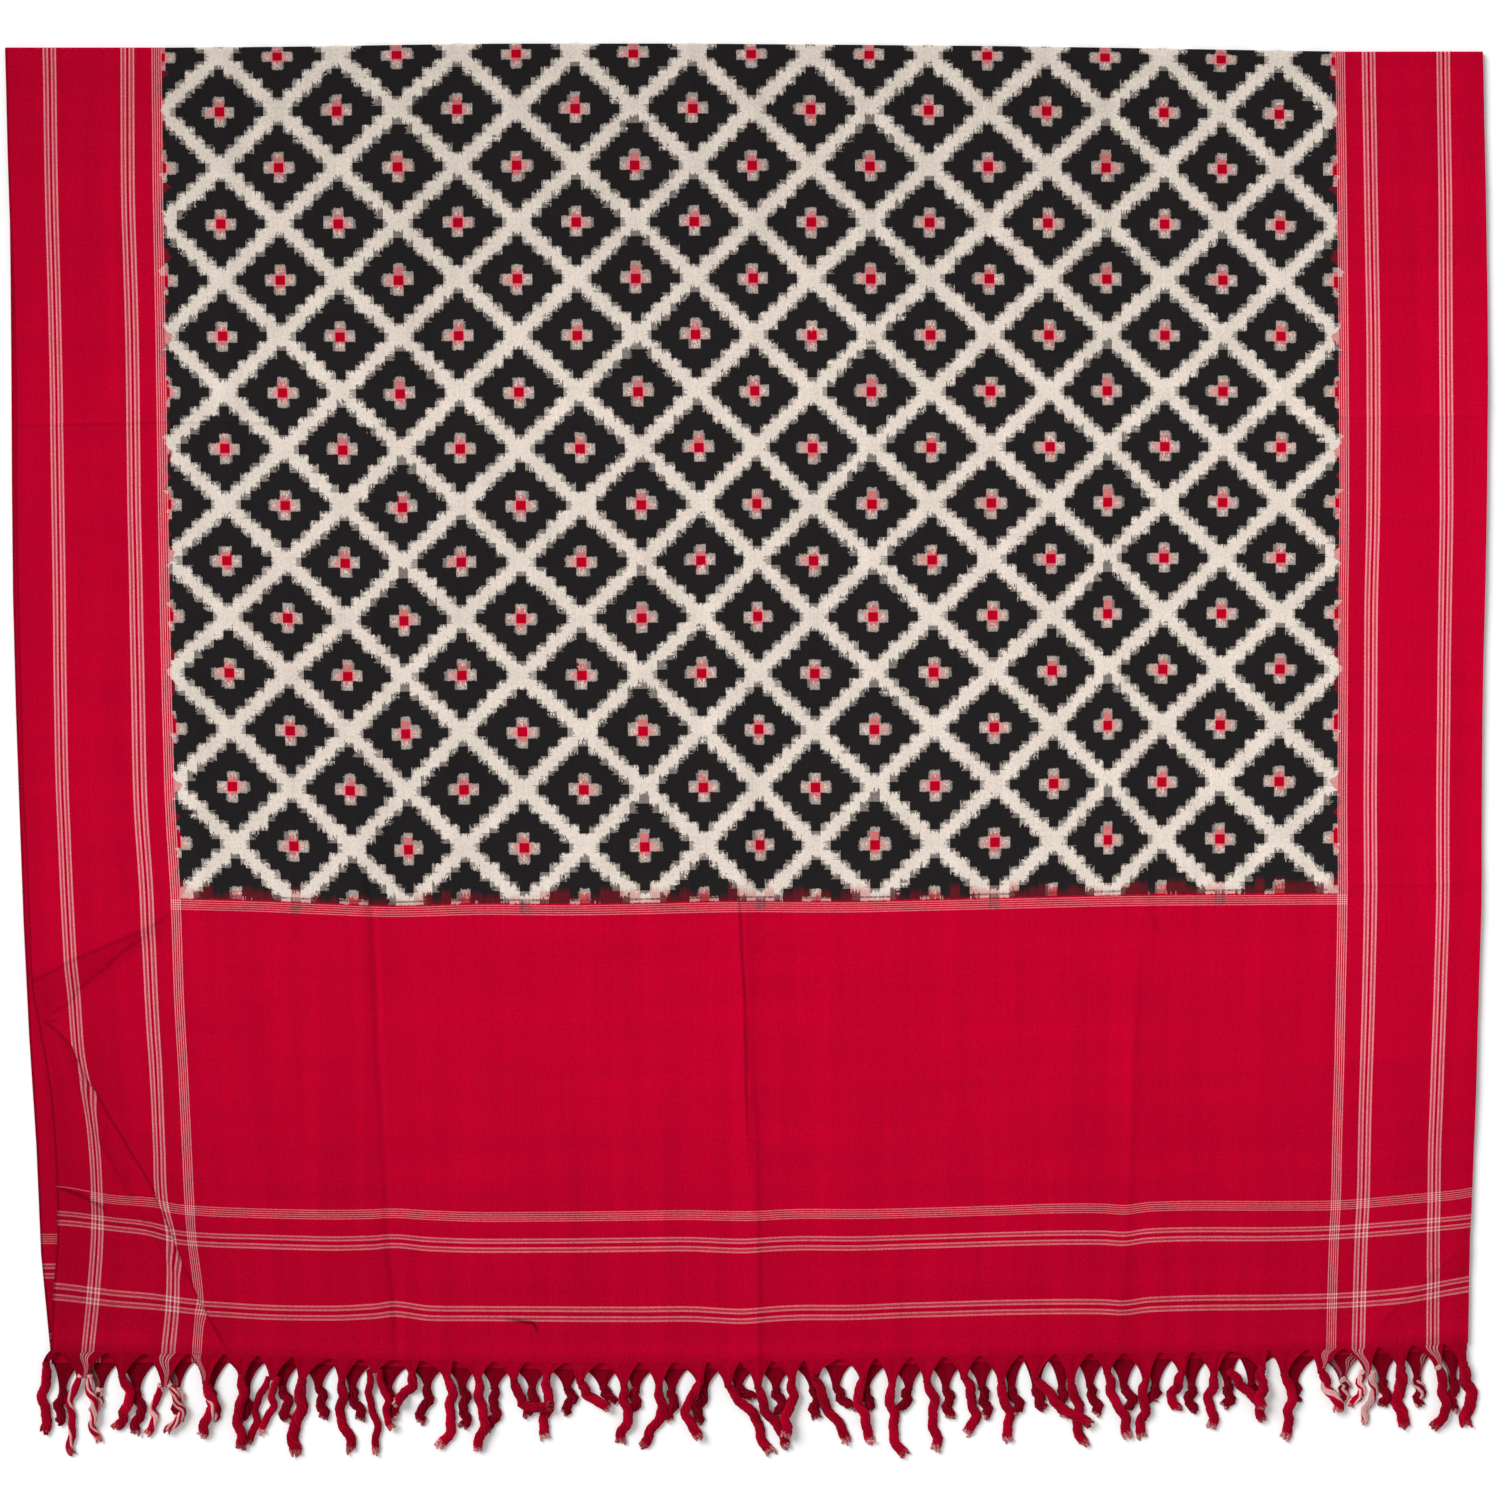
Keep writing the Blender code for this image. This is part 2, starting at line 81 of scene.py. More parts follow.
# The middles of its double stripes and of its fine bands, where the pocket ends, and the ends
# of the band below the field
PAIR_SIDES = (45, 123.5, 1363.5, 1438)
PAIR_ALONGS = (1197, 1265.5)
FINE_SIDES = (151.5, 1335)
FIELD_BAND = 859
PANEL_BAND = 1165.5
POCKET_SIDE = 37
BAND_LEFT = 146.8
BAND_RIGHT = 1339.8

# Its threads, and the field's lattice: edges, first heart, size of a step, half the steps
# from a heart to the next one like it, and how the last rows are shifted
WARP_PITCH = 0.62
WEFT_PITCH = 0.66
FIELD_LEFT = 156.6
FIELD_RIGHT = 1330.4
FIELD_END = 852
FIRST_HEART_SIDE = 155
FIRST_HEART_ALONG = 9
STEP_SIDE = 9.8
STEP_ALONG = 9.35
HALF_REPEAT = 6
LATE_FROM = 690
LATE_SHARE = 0.026
LAST_ROW = 89.4

# Colours of the dyes, of pale stripes and of pale yarn
RED = (0.530, 0.0003, 0.0245, 1)
BLACK = (0.0235, 0.0205, 0.0220, 1)
CREAM = (0.760, 0.665, 0.585, 1)
STRIPE_CREAM = (0.960, 0.430, 0.470, 1)
CROSSING_CREAM = (0.960, 0.620, 0.620, 1)
PALE_YARN = (0.80, 0.42, 0.40, 1)
PALE_TIP = (0.72, 0.36, 0.36, 1)

Crease = namedtuple(
    "Crease", "name height left_reach right_reach start_fade end_fade sharpness power path")
Tassel = namedtuple("Tassel", "knot_across knot_down bend_across bend_down tip_across tip_down")
Section = namedtuple("Section", "place width floor height")
Laid = namedtuple("Laid", "tassel is_twin sections")
Cover = namedtuple("Cover", "place half_width top gather_of")

# Where warp threads lie. The first row holds their flat places from the left selvedge, and
# each later row holds a place down the photograph and the threads' places across it.
WARP_SIDES = (0, 45, 123.5, 151.5, 331.4, 449, 684.2, 801.8, 1037, 1154.6, 1335, 1363.5, 1438, 1478)
WARP_ROWS = (
    (50, 5, 49.2, 127.2, 156.5, 336, 457, 692, 810.2, 1046, 1163.5, 1340, 1368.5, 1443.2, 1483),
    (200, 9, 51.6, 128, 158, 338, 457.6, 694, 811.2, 1047.6, 1164.6, 1341.8, 1371, 1445.3, 1486),
    (337, 14, 55.3, 132, 160.5, 340, 458.6, 695.6, 812, 1049, 1165, 1343.2, 1373.2, 1445.8, 1488),
    (500, 15, 57.8, 134, 163, 344, 461, 700.5, 813, 1050.5, 1164.5, 1344, 1373.4, 1446.5, 1487),
    (600, 17, 59.2, 136, 164.8, 346, 461.4, 701, 813.9, 1051.3, 1163.5, 1343.3, 1371.3, 1445.1, 1485),
    (700, 19.7, 60.2, 138, 167, 348.3, 462.2, 702, 815, 1052.6, 1162.4, 1342.8, 1370.7, 1443.7, 1482.8),
    (800, 22.6, 62.6, 140.2, 170, 350.4, 464.2, 703.6, 815.6, 1053.8, 1161.7, 1342.4, 1370.2, 1442.8, 1482),
    (900, 28, 67.6, 146.8, 175.6, 354, 465.6, 704.4, 816.3, 1052.9, 1161.7, 1342.6, 1370.4, 1442.6, 1481.5),
    (990, 33, 73.6, 150.9, 178.7, 355, 466, 705, 816, 1052, 1160, 1341, 1368.7, 1440.4, 1479),
    (1035, 40.5, 77, 153.4, 181, 356, 466.6, 705.4, 816, 1051.3, 1158.8, 1340, 1367.3, 1438.8, 1477.6),
    (1060, 45.2, 80.2, 155.1, 182.4, 356.4, 466.8, 705.6, 816, 1050.8, 1158.2, 1339.5, 1366.5, 1437.9, 1477),
    (1100, 51, 88.6, 157, 184.5, 357, 467, 706, 816, 1050, 1157, 1338.4, 1365.4, 1436.6, 1475.8),
    (1150, 54.8, 94.6, 159.2, 187, 357.6, 467.5, 707, 816.5, 1049, 1156, 1337, 1364.2, 1434.8, 1474),
    (1200, 57, 97, 162, 189.3, 358, 468, 708, 817, 1048, 1155, 1335.8, 1363, 1434.2, 1472),
    (1240, 57, 96.8, 171.5, 192, 359, 468.5, 708.5, 817.2, 1047, 1154.4, 1334, 1361, 1433.5, 1470),
    (1300, 53, 92.6, 172.6, 199.5, 360.5, 469.3, 709.2, 817.6, 1045.5, 1153, 1332, 1359.2, 1433.2, 1469),
    (1350, 51, 87.6, 168.3, 197, 362, 470, 710, 818, 1044, 1152, 1331, 1358, 1432.8, 1468),
)

# Where weft threads lie. The first row holds their flat places from the fold, and each later
# row holds a place across the photograph and the threads' places down it.
WEFT_ALONGS = (0, 859, 1165.5, 1197, 1265.5, 1311)
WEFT_ROWS = (
    (15, 47, 902, 1189, 1217.6, 1288, 1351), (62, 47, 903, 1191, 1218, 1291.9, 1352),
    (110, 47, 904, 1199.4, 1223.5, 1297.9, 1353), (150, 47, 904.3, 1202.5, 1228.5, 1301.3, 1353.8),
    (176, 47, 904.6, 1208.5, 1236.2, 1304.5, 1354.1), (210, 46.8, 905.4, 1211.6, 1240, 1308.4, 1354.6),
    (260, 46.4, 906.8, 1213.4, 1241.4, 1312, 1356), (330, 45.6, 909.8, 1214.7, 1243.2, 1313.2, 1358.7),
    (372, 44.8, 911.6, 1214.2, 1242.4, 1311.4, 1359.6), (396, 44.4, 912, 1213.3, 1240.9, 1309, 1360.2),
    (430, 43.9, 911.2, 1215.2, 1243.9, 1313, 1361), (480, 43.2, 909.8, 1217, 1245.6, 1313.6, 1361.7),
    (560, 43, 910.4, 1216.7, 1245.3, 1314.1, 1362.9), (640, 43, 909.3, 1215.7, 1244.5, 1314.3, 1362.8),
    (690, 43, 908, 1215, 1244, 1313.8, 1362.5), (740, 43.4, 907.1, 1216.1, 1245.8, 1316.2, 1362.1),
    (765, 43.6, 907.1, 1215.4, 1244.4, 1314.4, 1361.6), (800, 43.8, 907.5, 1213.9, 1243.1, 1312.5, 1360.6),
    (850, 44.2, 907.4, 1214.1, 1243.4, 1312.5, 1359), (900, 44.7, 906.4, 1213.4, 1242.2, 1310.6, 1357.9),
    (1000, 45.5, 904, 1210.4, 1238.8, 1307.5, 1355.5), (1050, 46.3, 902.8, 1208.7, 1237.7, 1306.7, 1354.6),
    (1100, 47, 901.6, 1208.3, 1237.3, 1306.5, 1353.6), (1125, 47.4, 901.1, 1209.8, 1238.4, 1307.5, 1353.1),
    (1150, 47.8, 900.8, 1207, 1235.4, 1304.6, 1352.7), (1200, 48.7, 900.4, 1205.8, 1234.1, 1302.9, 1352.1),
    (1290, 50.2, 899.8, 1205.9, 1233.8, 1301.9, 1350.4), (1345, 51, 899.5, 1204.8, 1231.6, 1300, 1348.8),
    (1400, 51, 898.9, 1200.1, 1227.5, 1295.7, 1346.4), (1455, 51, 898.3, 1195.1, 1222.6, 1286.3, 1343.8),
    (1478, 51, 898, 1191, 1219.5, 1282, 1342.7),
)

# Left side of the back layer, as places down and across, and the drop of its hem
BACK_LEFT_DOWN = (46, 160, 330, 600, 800, 1000, 1140, 1245, 1290, 1325, 1380)
BACK_LEFT_ACROSS = (5, 8, 10, 12, 18, 26, 35, 39.5, 43, 49, 51)
BACK_HEM_DROP_LEFT = 14
BACK_HEM_DROP = 8
BACK_HEM_EVEN_FROM = 260

# Creases run down or across the front layer, with fades in pixels along them. A reach is a
# pixel distance, or a pair for the path's start and end. A sharpness and power of 1 make a
# straight slope, and higher ones a rounder crease. The pleat's right-hand cloth stands up
# and leans over the left-hand cloth.
PLEAT = Crease("pleat", 0.0034, 4, 34, 60, 70, 1.4, 2, [
    (40, 1018), (56, 1030), (72, 1047), (86, 1078), (96, 1092), (110, 1117), (127, 1145), (144, 1173),
    (155, 1193), (162, 1213), (170, 1229), (177, 1250), (186, 1271), (201, 1302), (212, 1323),
    (227, 1350)])
BRANCH = Crease("pleat branch", 0.0016, 3, 14, 20, 30, 1.2, 2, [
    (56, 1033), (62, 1050), (71, 1068), (79, 1091), (90, 1121), (101, 1143), (112, 1163),
    (127, 1191), (144, 1221), (166, 1258), (179, 1280)])
POCKET = Crease("selvedge pocket", 0.0016, 3, 12, 6, 14, 1.2, 2, [
    (106, 1209), (95, 1203), (82, 1196), (55, 1186)])
CREASES = [
    PLEAT, BRANCH, POCKET,
    Crease("wedge", 0.0048, 120, (10, 36), 90, 14, 1, 1, [(176, 912), (153, 927), (77, 960), (22, 987)]),
    Crease("left trough", -0.0013, 15, 9, 90, 1, 1.1, 2, [
        (360, 846), (370, 900), (376, 1010), (381, 1150), (388, 1270), (399, 1360)]),
    Crease("middle ridge", 0.0020, 30, 22, 160, 1, 1.1, 1.6, [
        (748, 700), (744, 900), (750, 1040), (754, 1150), (757, 1245), (759, 1362)]),
    Crease("right ridge", 0.0015, 30, 14, 110, 1, 1.1, 1.6, [
        (1139, 905), (1136, 1000), (1131, 1130), (1125, 1250), (1119, 1354)]),
    Crease("right corner of the field", 0.0012, 8, 8, 8, 20, 1.2, 2, [
        (1129, 883), (1147, 908), (1156, 934)]),
    Crease("upper cross fold", 0.0007, 22, 12, 40, 40, 1.1, 2, [
        (20, 427), (400, 426), (744, 424), (1100, 421), (1484, 419)]),
    Crease("lower cross fold", 0.0008, 18, 12, 60, 40, 1.1, 2, [
        (60, 926), (172, 908), (380, 893), (744, 891), (1140, 888), (1478, 884)]),
    Crease("corner bend", 0.0018, 24, 20, 30, 30, 1.2, 2, [(1360, 1335), (1379, 1325), (1472, 1242)]),
]

# Sharp fold lines of the front layer, where the cloth is pressed, darkened as painted shade, and one
# dark loose thread in its own colour: how much darker they are, and half their width in pixels
LINE_REACH = 8
Line = namedtuple("Line", "name depth half_width start_fade end_fade path")
LINES = [
    Line("pleat", 0.34, 3.0, 10, 14, PLEAT.path),
    Line("pleat branch", 0.17, 3.4, 10, 60, BRANCH.path),
    Line("selvedge pocket", 0.42, 3.0, 6, 10, POCKET.path),
    Line("wedge, upper edge", 0.24, 3.2, 20, 8, [
        (176, 910), (153, 926), (126, 938), (77, 959), (42, 977), (22, 986)]),
    Line("wedge, lower edge", 0.22, 3.0, 20, 12, [
        (40, 1022), (56, 1011), (68, 1004), (80, 989), (104, 969), (128, 948), (150, 934)]),
    Line("left trough", 0.20, 5.0, 30, 30, [
        (361, 860), (371, 920), (375, 1020), (379, 1100), (384, 1190), (387, 1250), (396, 1340)]),
    Line("middle, upper part", 0.40, 2.6, 40, 110, [
        (738, 880), (740, 910), (742, 955), (745, 1000), (746, 1080), (750, 1180)]),
    Line("middle, lower part", 0.16, 4.2, 60, 1, [(749, 1020), (757, 1120), (759, 1210), (761, 1362)]),
    Line("right", 0.07, 5.0, 60, 40, [
        (1140, 940), (1136, 1030), (1133, 1140), (1128, 1260), (1122, 1350)]),
    Line("left of the upper cross fold", 0.17, 2.6, 8, 50, [(16, 426), (90, 425), (160, 423), (300, 424)]),
    Line("right of the upper cross fold", 0.10, 2.6, 60, 8, [(1200, 420), (1380, 418), (1484, 417)]),
    Line("right of the lower cross fold", 0.10, 2.4, 20, 8, [(1345, 887), (1400, 886), (1483, 884)]),
    Line("corner bend", 0.13, 3.6, 20, 30, [(1376, 1329), (1412, 1294), (1466, 1246)]),
    Line("dark loose thread", 0.72, 2.4, 5, 4, [
        (503, 1319), (515, 1321), (529, 1320), (534, 1324), (538, 1330)]),
]

# Soft unevenness of the front layer: height, then the wave's length and heading as turns
# across and down each metre, and where it starts
WAVES = (
    (0.00030, 4.1, 1.3, 0.2), (0.00026, 9.7, -1.1, 1.1), (0.00020, 17.3, 2.2, 2.9),
    (0.00022, 2.3, 7.9, 0.7), (0.00014, -6.1, 12.7, 4.0), (0.00010, 27.0, 5.1, 5.3),
    (0.00008, 8.9, 31.0, 1.9),
)

# Front tassels from left to right. A later row lies over an earlier one where they cross.
FRONT_TASSELS = [Tassel(*places) for places in (
    (46, 1364, 44, 1396, 44, 1434), (80, 1376, 70, 1412, 74, 1457), (90, 1376, 93, 1412, 97, 1444),
    (122, 1376, 127, 1410, 111, 1431), (160, 1385, 153, 1415, 148, 1436),
    (170, 1385, 180, 1413, 166, 1434), (206, 1382, 211, 1403, 198, 1438),
    (242, 1376, 240, 1412, 239, 1452), (268, 1378, 256, 1412, 249, 1448),
    (278, 1378, 270, 1408, 262, 1436), (302, 1381, 297, 1420, 291, 1458),
    (342, 1380, 341, 1405, 353, 1455), (369, 1371, 372, 1405, 378, 1458),
    (380, 1371, 386, 1402, 392, 1430), (412, 1373, 408, 1391, 391, 1402),
    (447, 1377, 452, 1402, 439, 1450), (478, 1378, 482, 1404, 478, 1455),
    (547, 1376, 547, 1405, 543, 1441), (514, 1380, 524, 1403, 552, 1405),
    (580, 1381, 593, 1399, 613, 1409), (624, 1385, 626, 1419, 620, 1445),
    (659, 1386, 656, 1425, 638, 1450), (700, 1382, 688, 1415, 700, 1441),
    (758, 1387, 770, 1415, 792, 1450), (728, 1385, 750, 1413, 771, 1457),
    (792, 1380, 790, 1406, 783, 1438), (813, 1376, 828, 1406, 848, 1446),
    (863, 1377, 861, 1410, 876, 1444), (892, 1385, 893, 1424, 904, 1458),
    (927, 1381, 934, 1412, 934, 1453), (964, 1377, 974, 1415, 966, 1436),
    (1001, 1380, 1007, 1410, 1010, 1444), (1071, 1381, 1077, 1409, 1082, 1448),
    (1035, 1377, 1057, 1402, 1094, 1427), (1107, 1372, 1117, 1402, 1131, 1440),
    (1146, 1380, 1143, 1410, 1143, 1440), (1182, 1373, 1174, 1394, 1175, 1412),
    (1214, 1374, 1211, 1402, 1213, 1430), (1230, 1372, 1249, 1392, 1266, 1423),
    (1262, 1368, 1261, 1388, 1262, 1409), (1284, 1374, 1291, 1402, 1282, 1440),
    (1321, 1371, 1331, 1392, 1341, 1413), (1362, 1372, 1360, 1394, 1350, 1408),
    (1373, 1372, 1372, 1396, 1362, 1427), (1401, 1368, 1400, 1396, 1404, 1430),
    (1438, 1367, 1445, 1396, 1436, 1430), (1463, 1364, 1470, 1396, 1466, 1429),
)]
# Back tassels, which show between the front ones and below them.
BACK_TASSELS = [Tassel(*places) for places in (
    (62, 1390, 60, 1404, 58, 1424), (99, 1390, 97, 1400, 95, 1412), (136, 1390, 139, 1406, 133, 1436),
    (176, 1390, 178, 1404, 176, 1422), (210, 1389, 213, 1402, 214, 1420),
    (246, 1388, 246, 1402, 243, 1424), (282, 1388, 286, 1404, 284, 1424),
    (318, 1388, 322, 1402, 321, 1420), (352, 1388, 356, 1404, 362, 1422),
    (388, 1388, 393, 1402, 397, 1418), (427, 1386, 426, 1402, 416, 1424),
    (462, 1388, 465, 1406, 462, 1430), (494, 1388, 495, 1408, 488, 1431),
    (532, 1388, 533, 1402, 527, 1418), (567, 1389, 571, 1402, 560, 1414),
    (603, 1388, 608, 1396, 612, 1404), (636, 1389, 635, 1402, 633, 1414),
    (672, 1390, 672, 1406, 667, 1423), (704, 1390, 700, 1406, 696, 1424),
    (738, 1388, 746, 1394, 756, 1400), (776, 1388, 780, 1402, 781, 1418),
    (813, 1388, 816, 1402, 814, 1420), (836, 1388, 842, 1398, 851, 1410),
    (866, 1388, 868, 1400, 870, 1412), (909, 1389, 906, 1400, 901, 1414),
    (946, 1388, 949, 1402, 948, 1420), (982, 1388, 986, 1402, 985, 1418),
    (1012, 1388, 1017, 1402, 1021, 1415), (1036, 1388, 1039, 1398, 1044, 1410),
    (1062, 1388, 1062, 1402, 1064, 1419), (1090, 1386, 1095, 1400, 1097, 1416),
    (1124, 1386, 1131, 1398, 1130, 1413), (1156, 1386, 1154, 1396, 1150, 1404),
    (1192, 1385, 1191, 1398, 1192, 1414), (1228, 1384, 1230, 1396, 1225, 1408),
    (1252, 1384, 1256, 1392, 1260, 1400), (1295, 1382, 1296, 1392, 1296, 1404),
    (1343, 1380, 1346, 1392, 1339, 1401), (1383, 1380, 1386, 1392, 1384, 1408),
    (1418, 1378, 1420, 1392, 1421, 1408), (1453, 1378, 1454, 1394, 1451, 1412),
)]
# Sharp notches between the gathers of the front hem, across the photograph
FRONT_NOTCHES = (
    50, 57, 71, 107, 145, 188, 224, 258, 293, 330, 360, 393, 420, 453, 494, 526, 567, 602, 639, 673,
    707, 740, 772, 804, 840, 876, 911, 944, 979, 1021, 1055, 1090, 1124, 1160, 1192, 1229, 1268, 1307,
    1343, 1378, 1412, 1443, 1466,
)
# Tassels this near each other share a gather as two thinner plies, and some single ones are
# wide: pixels, then shares of a strand's width. A gather is drawn in to its knot's pixels.
TWIN_PIXELS = 12
TWIN_SHARE = 0.72
WIDE_KNOTS = (302, 1401, 1463)
WIDE_SHARE = 1.25
KNOT_PIXELS = 7
PATH_STEPS = 48


def smooth(knots, values, at):
    """Read smooth curves through (knot, value) pairs at many places.

    values has one row for all places, or one row for each place.
    """
    knots = np.asarray(knots, float)
    values = np.atleast_2d(np.asarray(values, float))
    at = np.clip(np.asarray(at, float), knots[0], knots[-1])
    rows = np.arange(len(at)) if len(values) > 1 else np.zeros(len(at), int)
    low = np.clip(np.searchsorted(knots, at, side="right") - 1, 0, len(knots) - 2)
    before = np.maximum(low - 1, 0)
    after = np.minimum(low + 2, len(knots) - 1)
    span = knots[low + 1] - knots[low]
    share = (at - knots[low]) / span
    start, end = values[rows, low], values[rows, low + 1]
    rise_low = (end - values[rows, before]) / (knots[low + 1] - knots[before]) * span
    rise_high = (values[rows, after] - start) / (knots[after] - knots[low]) * span
    change = end - start
    bend = rise_low + rise_high - 2 * change
    return start + share * (rise_low + share * (3 * change - 2 * rise_low - rise_high + share * bend))


def warp_across(side, down):
    """Place across the photograph of the warp thread at a flat place, at one place down it."""
    downs = [row[0] for row in WARP_ROWS]
    threads = zip(*(row[1:] for row in WARP_ROWS))
    anchors = [smooth(downs, places, down) for places in threads]
    return smooth(WARP_SIDES, np.column_stack(anchors), side)


def weft_down(along, across):
    """Place down the photograph of the weft thread at a flat place, at one place across it."""
    acrosses = [row[0] for row in WEFT_ROWS]
    threads = zip(*(row[1:] for row in WEFT_ROWS))
    anchors = [smooth(acrosses, places, across) for places in threads]
    return smooth(WEFT_ALONGS, np.column_stack(anchors), along)


def hem_down(across):
    """Place down the photograph of the front hem."""
    return weft_down(np.full(np.shape(across), HEM_ALONG), across)


def back_hem_down(across):
    """Place down the photograph of the back hem, a little below the front one."""
    evenness = np.clip(np.asarray(across) / BACK_HEM_EVEN_FROM, 0, 1)
    return hem_down(across) + BACK_HEM_DROP_LEFT + (BACK_HEM_DROP - BACK_HEM_DROP_LEFT) * evenness


def crease_distance(crease, across, down):
    """Distance from a crease's path, whether that is on its left, and how far along it."""
    best = np.full(np.shape(across), 1e9)
    is_left = np.zeros(np.shape(across), bool)
    place = np.zeros(np.shape(across))
    run = 0.0
    for (x0, y0), (x1, y1) in zip(crease.path, crease.path[1:]):
        length = math.hypot(x1 - x0, y1 - y0)
        share = np.clip(((across - x0) * (x1 - x0) + (down - y0) * (y1 - y0)) / length ** 2, 0, 1)
        away_x, away_y = across - x0 - share * (x1 - x0), down - y0 - share * (y1 - y0)
        distance = np.hypot(away_x, away_y)
        nearer = distance < best
        best = np.where(nearer, distance, best)
        is_left = np.where(nearer, (x1 - x0) * away_y - (y1 - y0) * away_x > 0, is_left)
        place = np.where(nearer, run + share * length, place)
        run += length
    return best, is_left, place, run


def crease_fade(crease, place, run):
    """How much of a crease's height is there, from 0 at its ends to 1."""
    start = np.clip(place / crease.start_fade, 0, 1)
    end = np.clip((run - place) / crease.end_fade, 0, 1)
    return np.sin(start * math.pi / 2) * np.sin(end * math.pi / 2)


def crease_lift(crease, across, down):
    """Height that one crease adds to the front layer."""
    distance, is_left, place, run = crease_distance(crease, across, down)
    right_start, right_end = np.broadcast_to(crease.right_reach, 2)
    right_reach = right_start + (right_end - right_start) * place / run
    reach = np.where(is_left, crease.left_reach, right_reach)
    shape = (1 - np.clip(distance / reach, 0, 1) ** crease.sharpness) ** crease.power
    return crease.height * shape * crease_fade(crease, place, run)


def fold_lines(across, down):
    """Distance to the nearest fold line as a share of its half width, and how dark it is."""
    nearest = np.full(np.shape(across), 99.0)
    share = np.full(np.shape(across), 9.0)
    dark = np.zeros(np.shape(across))
    for line in LINES:
        distance, is_left, place, run = crease_distance(line, across, down)
        nearer = distance < nearest
        nearest = np.where(nearer, distance, nearest)
        share = np.where(nearer, np.where(is_left, -distance, distance) / line.half_width, share)
        depth = line.depth * crease_fade(line, place, run) * (distance < LINE_REACH)
        dark = np.where(nearer, depth, dark)
    return share, dark


def soft_waves(x, y):
    """Soft unevenness of cloth that lies loose, in metres."""
    height = np.zeros(np.shape(x))
    for size, turns_x, turns_y, start in WAVES:
        bend = 0.8 * np.sin(3.1 * x + 5.3 * y + start)
        height += size * np.sin(2 * math.pi * (turns_x * x + turns_y * y) + start + bend)
    return height


def to_metres(across, down):
    """Turn places in the photograph into places on the surface."""
    return (across - MIDDLE_ACROSS) * PIXEL, (MIDDLE_DOWN - down) * PIXEL


def front_height(across, down):
    """Height of the front layer's top."""
    x, y = to_metres(across, down)
    lifts = [crease_lift(crease, across, down) for crease in CREASES]
    return FRONT_LEVEL + np.maximum.reduce(lifts) + np.minimum.reduce(lifts) + soft_waves(x, y)


def back_top(across, down):
    """Height of the back layer's top, which lies flat."""
    return np.full(np.shape(across), CLOTH_THICKNESS)


def front_place(side, along):
    """Place in the photograph of each thread crossing of the front layer."""
    down = along + FOLD_DOWN
    for _ in range(4):
        across = warp_across(side, down)
        down = weft_down(along, across)
    return across, down


def lean_pleat(across, down):
    """Pull the cloth left of the pleat under its crest, as it leans over there."""
    distance, is_left, place, run = crease_distance(PLEAT, across, down)
    reach = 11
    share = np.clip(distance / reach, 0, 1)
    pull = 3.2 * np.sin(math.pi * share ** 0.45) ** 1.5
    return across + np.where(is_left & (distance < reach), pull, 0) * crease_fade(PLEAT, place, run)


def new_object(name, mesh, *materials):
    """Link a mesh as a named piece with its materials."""
    for material in materials:
        mesh.materials.append(material)
    for polygon in mesh.polygons:
        polygon.use_smooth = True
    piece = bpy.data.objects.new(name, mesh)
    bpy.context.scene.collection.objects.link(piece)
    return piece


def grid_mesh(name, points, flats):
    """A mesh of rows and columns of points, with the flat cloth's places as its UV map."""
    rows, columns = points.shape[:2]
    mesh = bpy.data.meshes.new(name)
    numbers = np.arange(rows * columns).reshape(rows, columns)
    corners = np.stack([numbers[:-1, :-1], numbers[1:, :-1], numbers[1:, 1:], numbers[:-1, 1:]], axis=-1)
    mesh.from_pydata(points.reshape(-1, 3).tolist(), [], corners.reshape(-1, 4).tolist())
    loop_verts = np.empty(len(mesh.loops), int)
    mesh.loops.foreach_get("vertex_index", loop_verts)
    uv = mesh.uv_layers.new(name="flat_cloth")
    uv.data.foreach_set("uv", flats.reshape(-1, 2)[loop_verts].ravel())
    return mesh


def thicken(piece, thickness):
    """Give a sheet its thickness, below its surface, and keep the result as plain mesh."""
    shell = piece.modifiers.new("Thickness", "SOLIDIFY")
    shell.thickness = thickness
    shell.offset = -1
    depsgraph = bpy.context.evaluated_depsgraph_get()
    solid = bpy.data.meshes.new_from_object(piece.evaluated_get(depsgraph), depsgraph=depsgraph)
    solid.set_sharp_from_angle(angle=math.radians(50))
    flat = piece.data
    piece.modifiers.clear()
    piece.data = solid
    bpy.data.meshes.remove(flat)


def spaced(*stretches):
    """Places from stretches of (start, end, largest step), each as even steps."""
    places = [stretches[0][0]]
    for start, end, step in stretches:
        count = math.ceil((end - start) / step)
        places.extend(start + (end - start) * number / count for number in range(1, count + 1))
    return np.array(places)


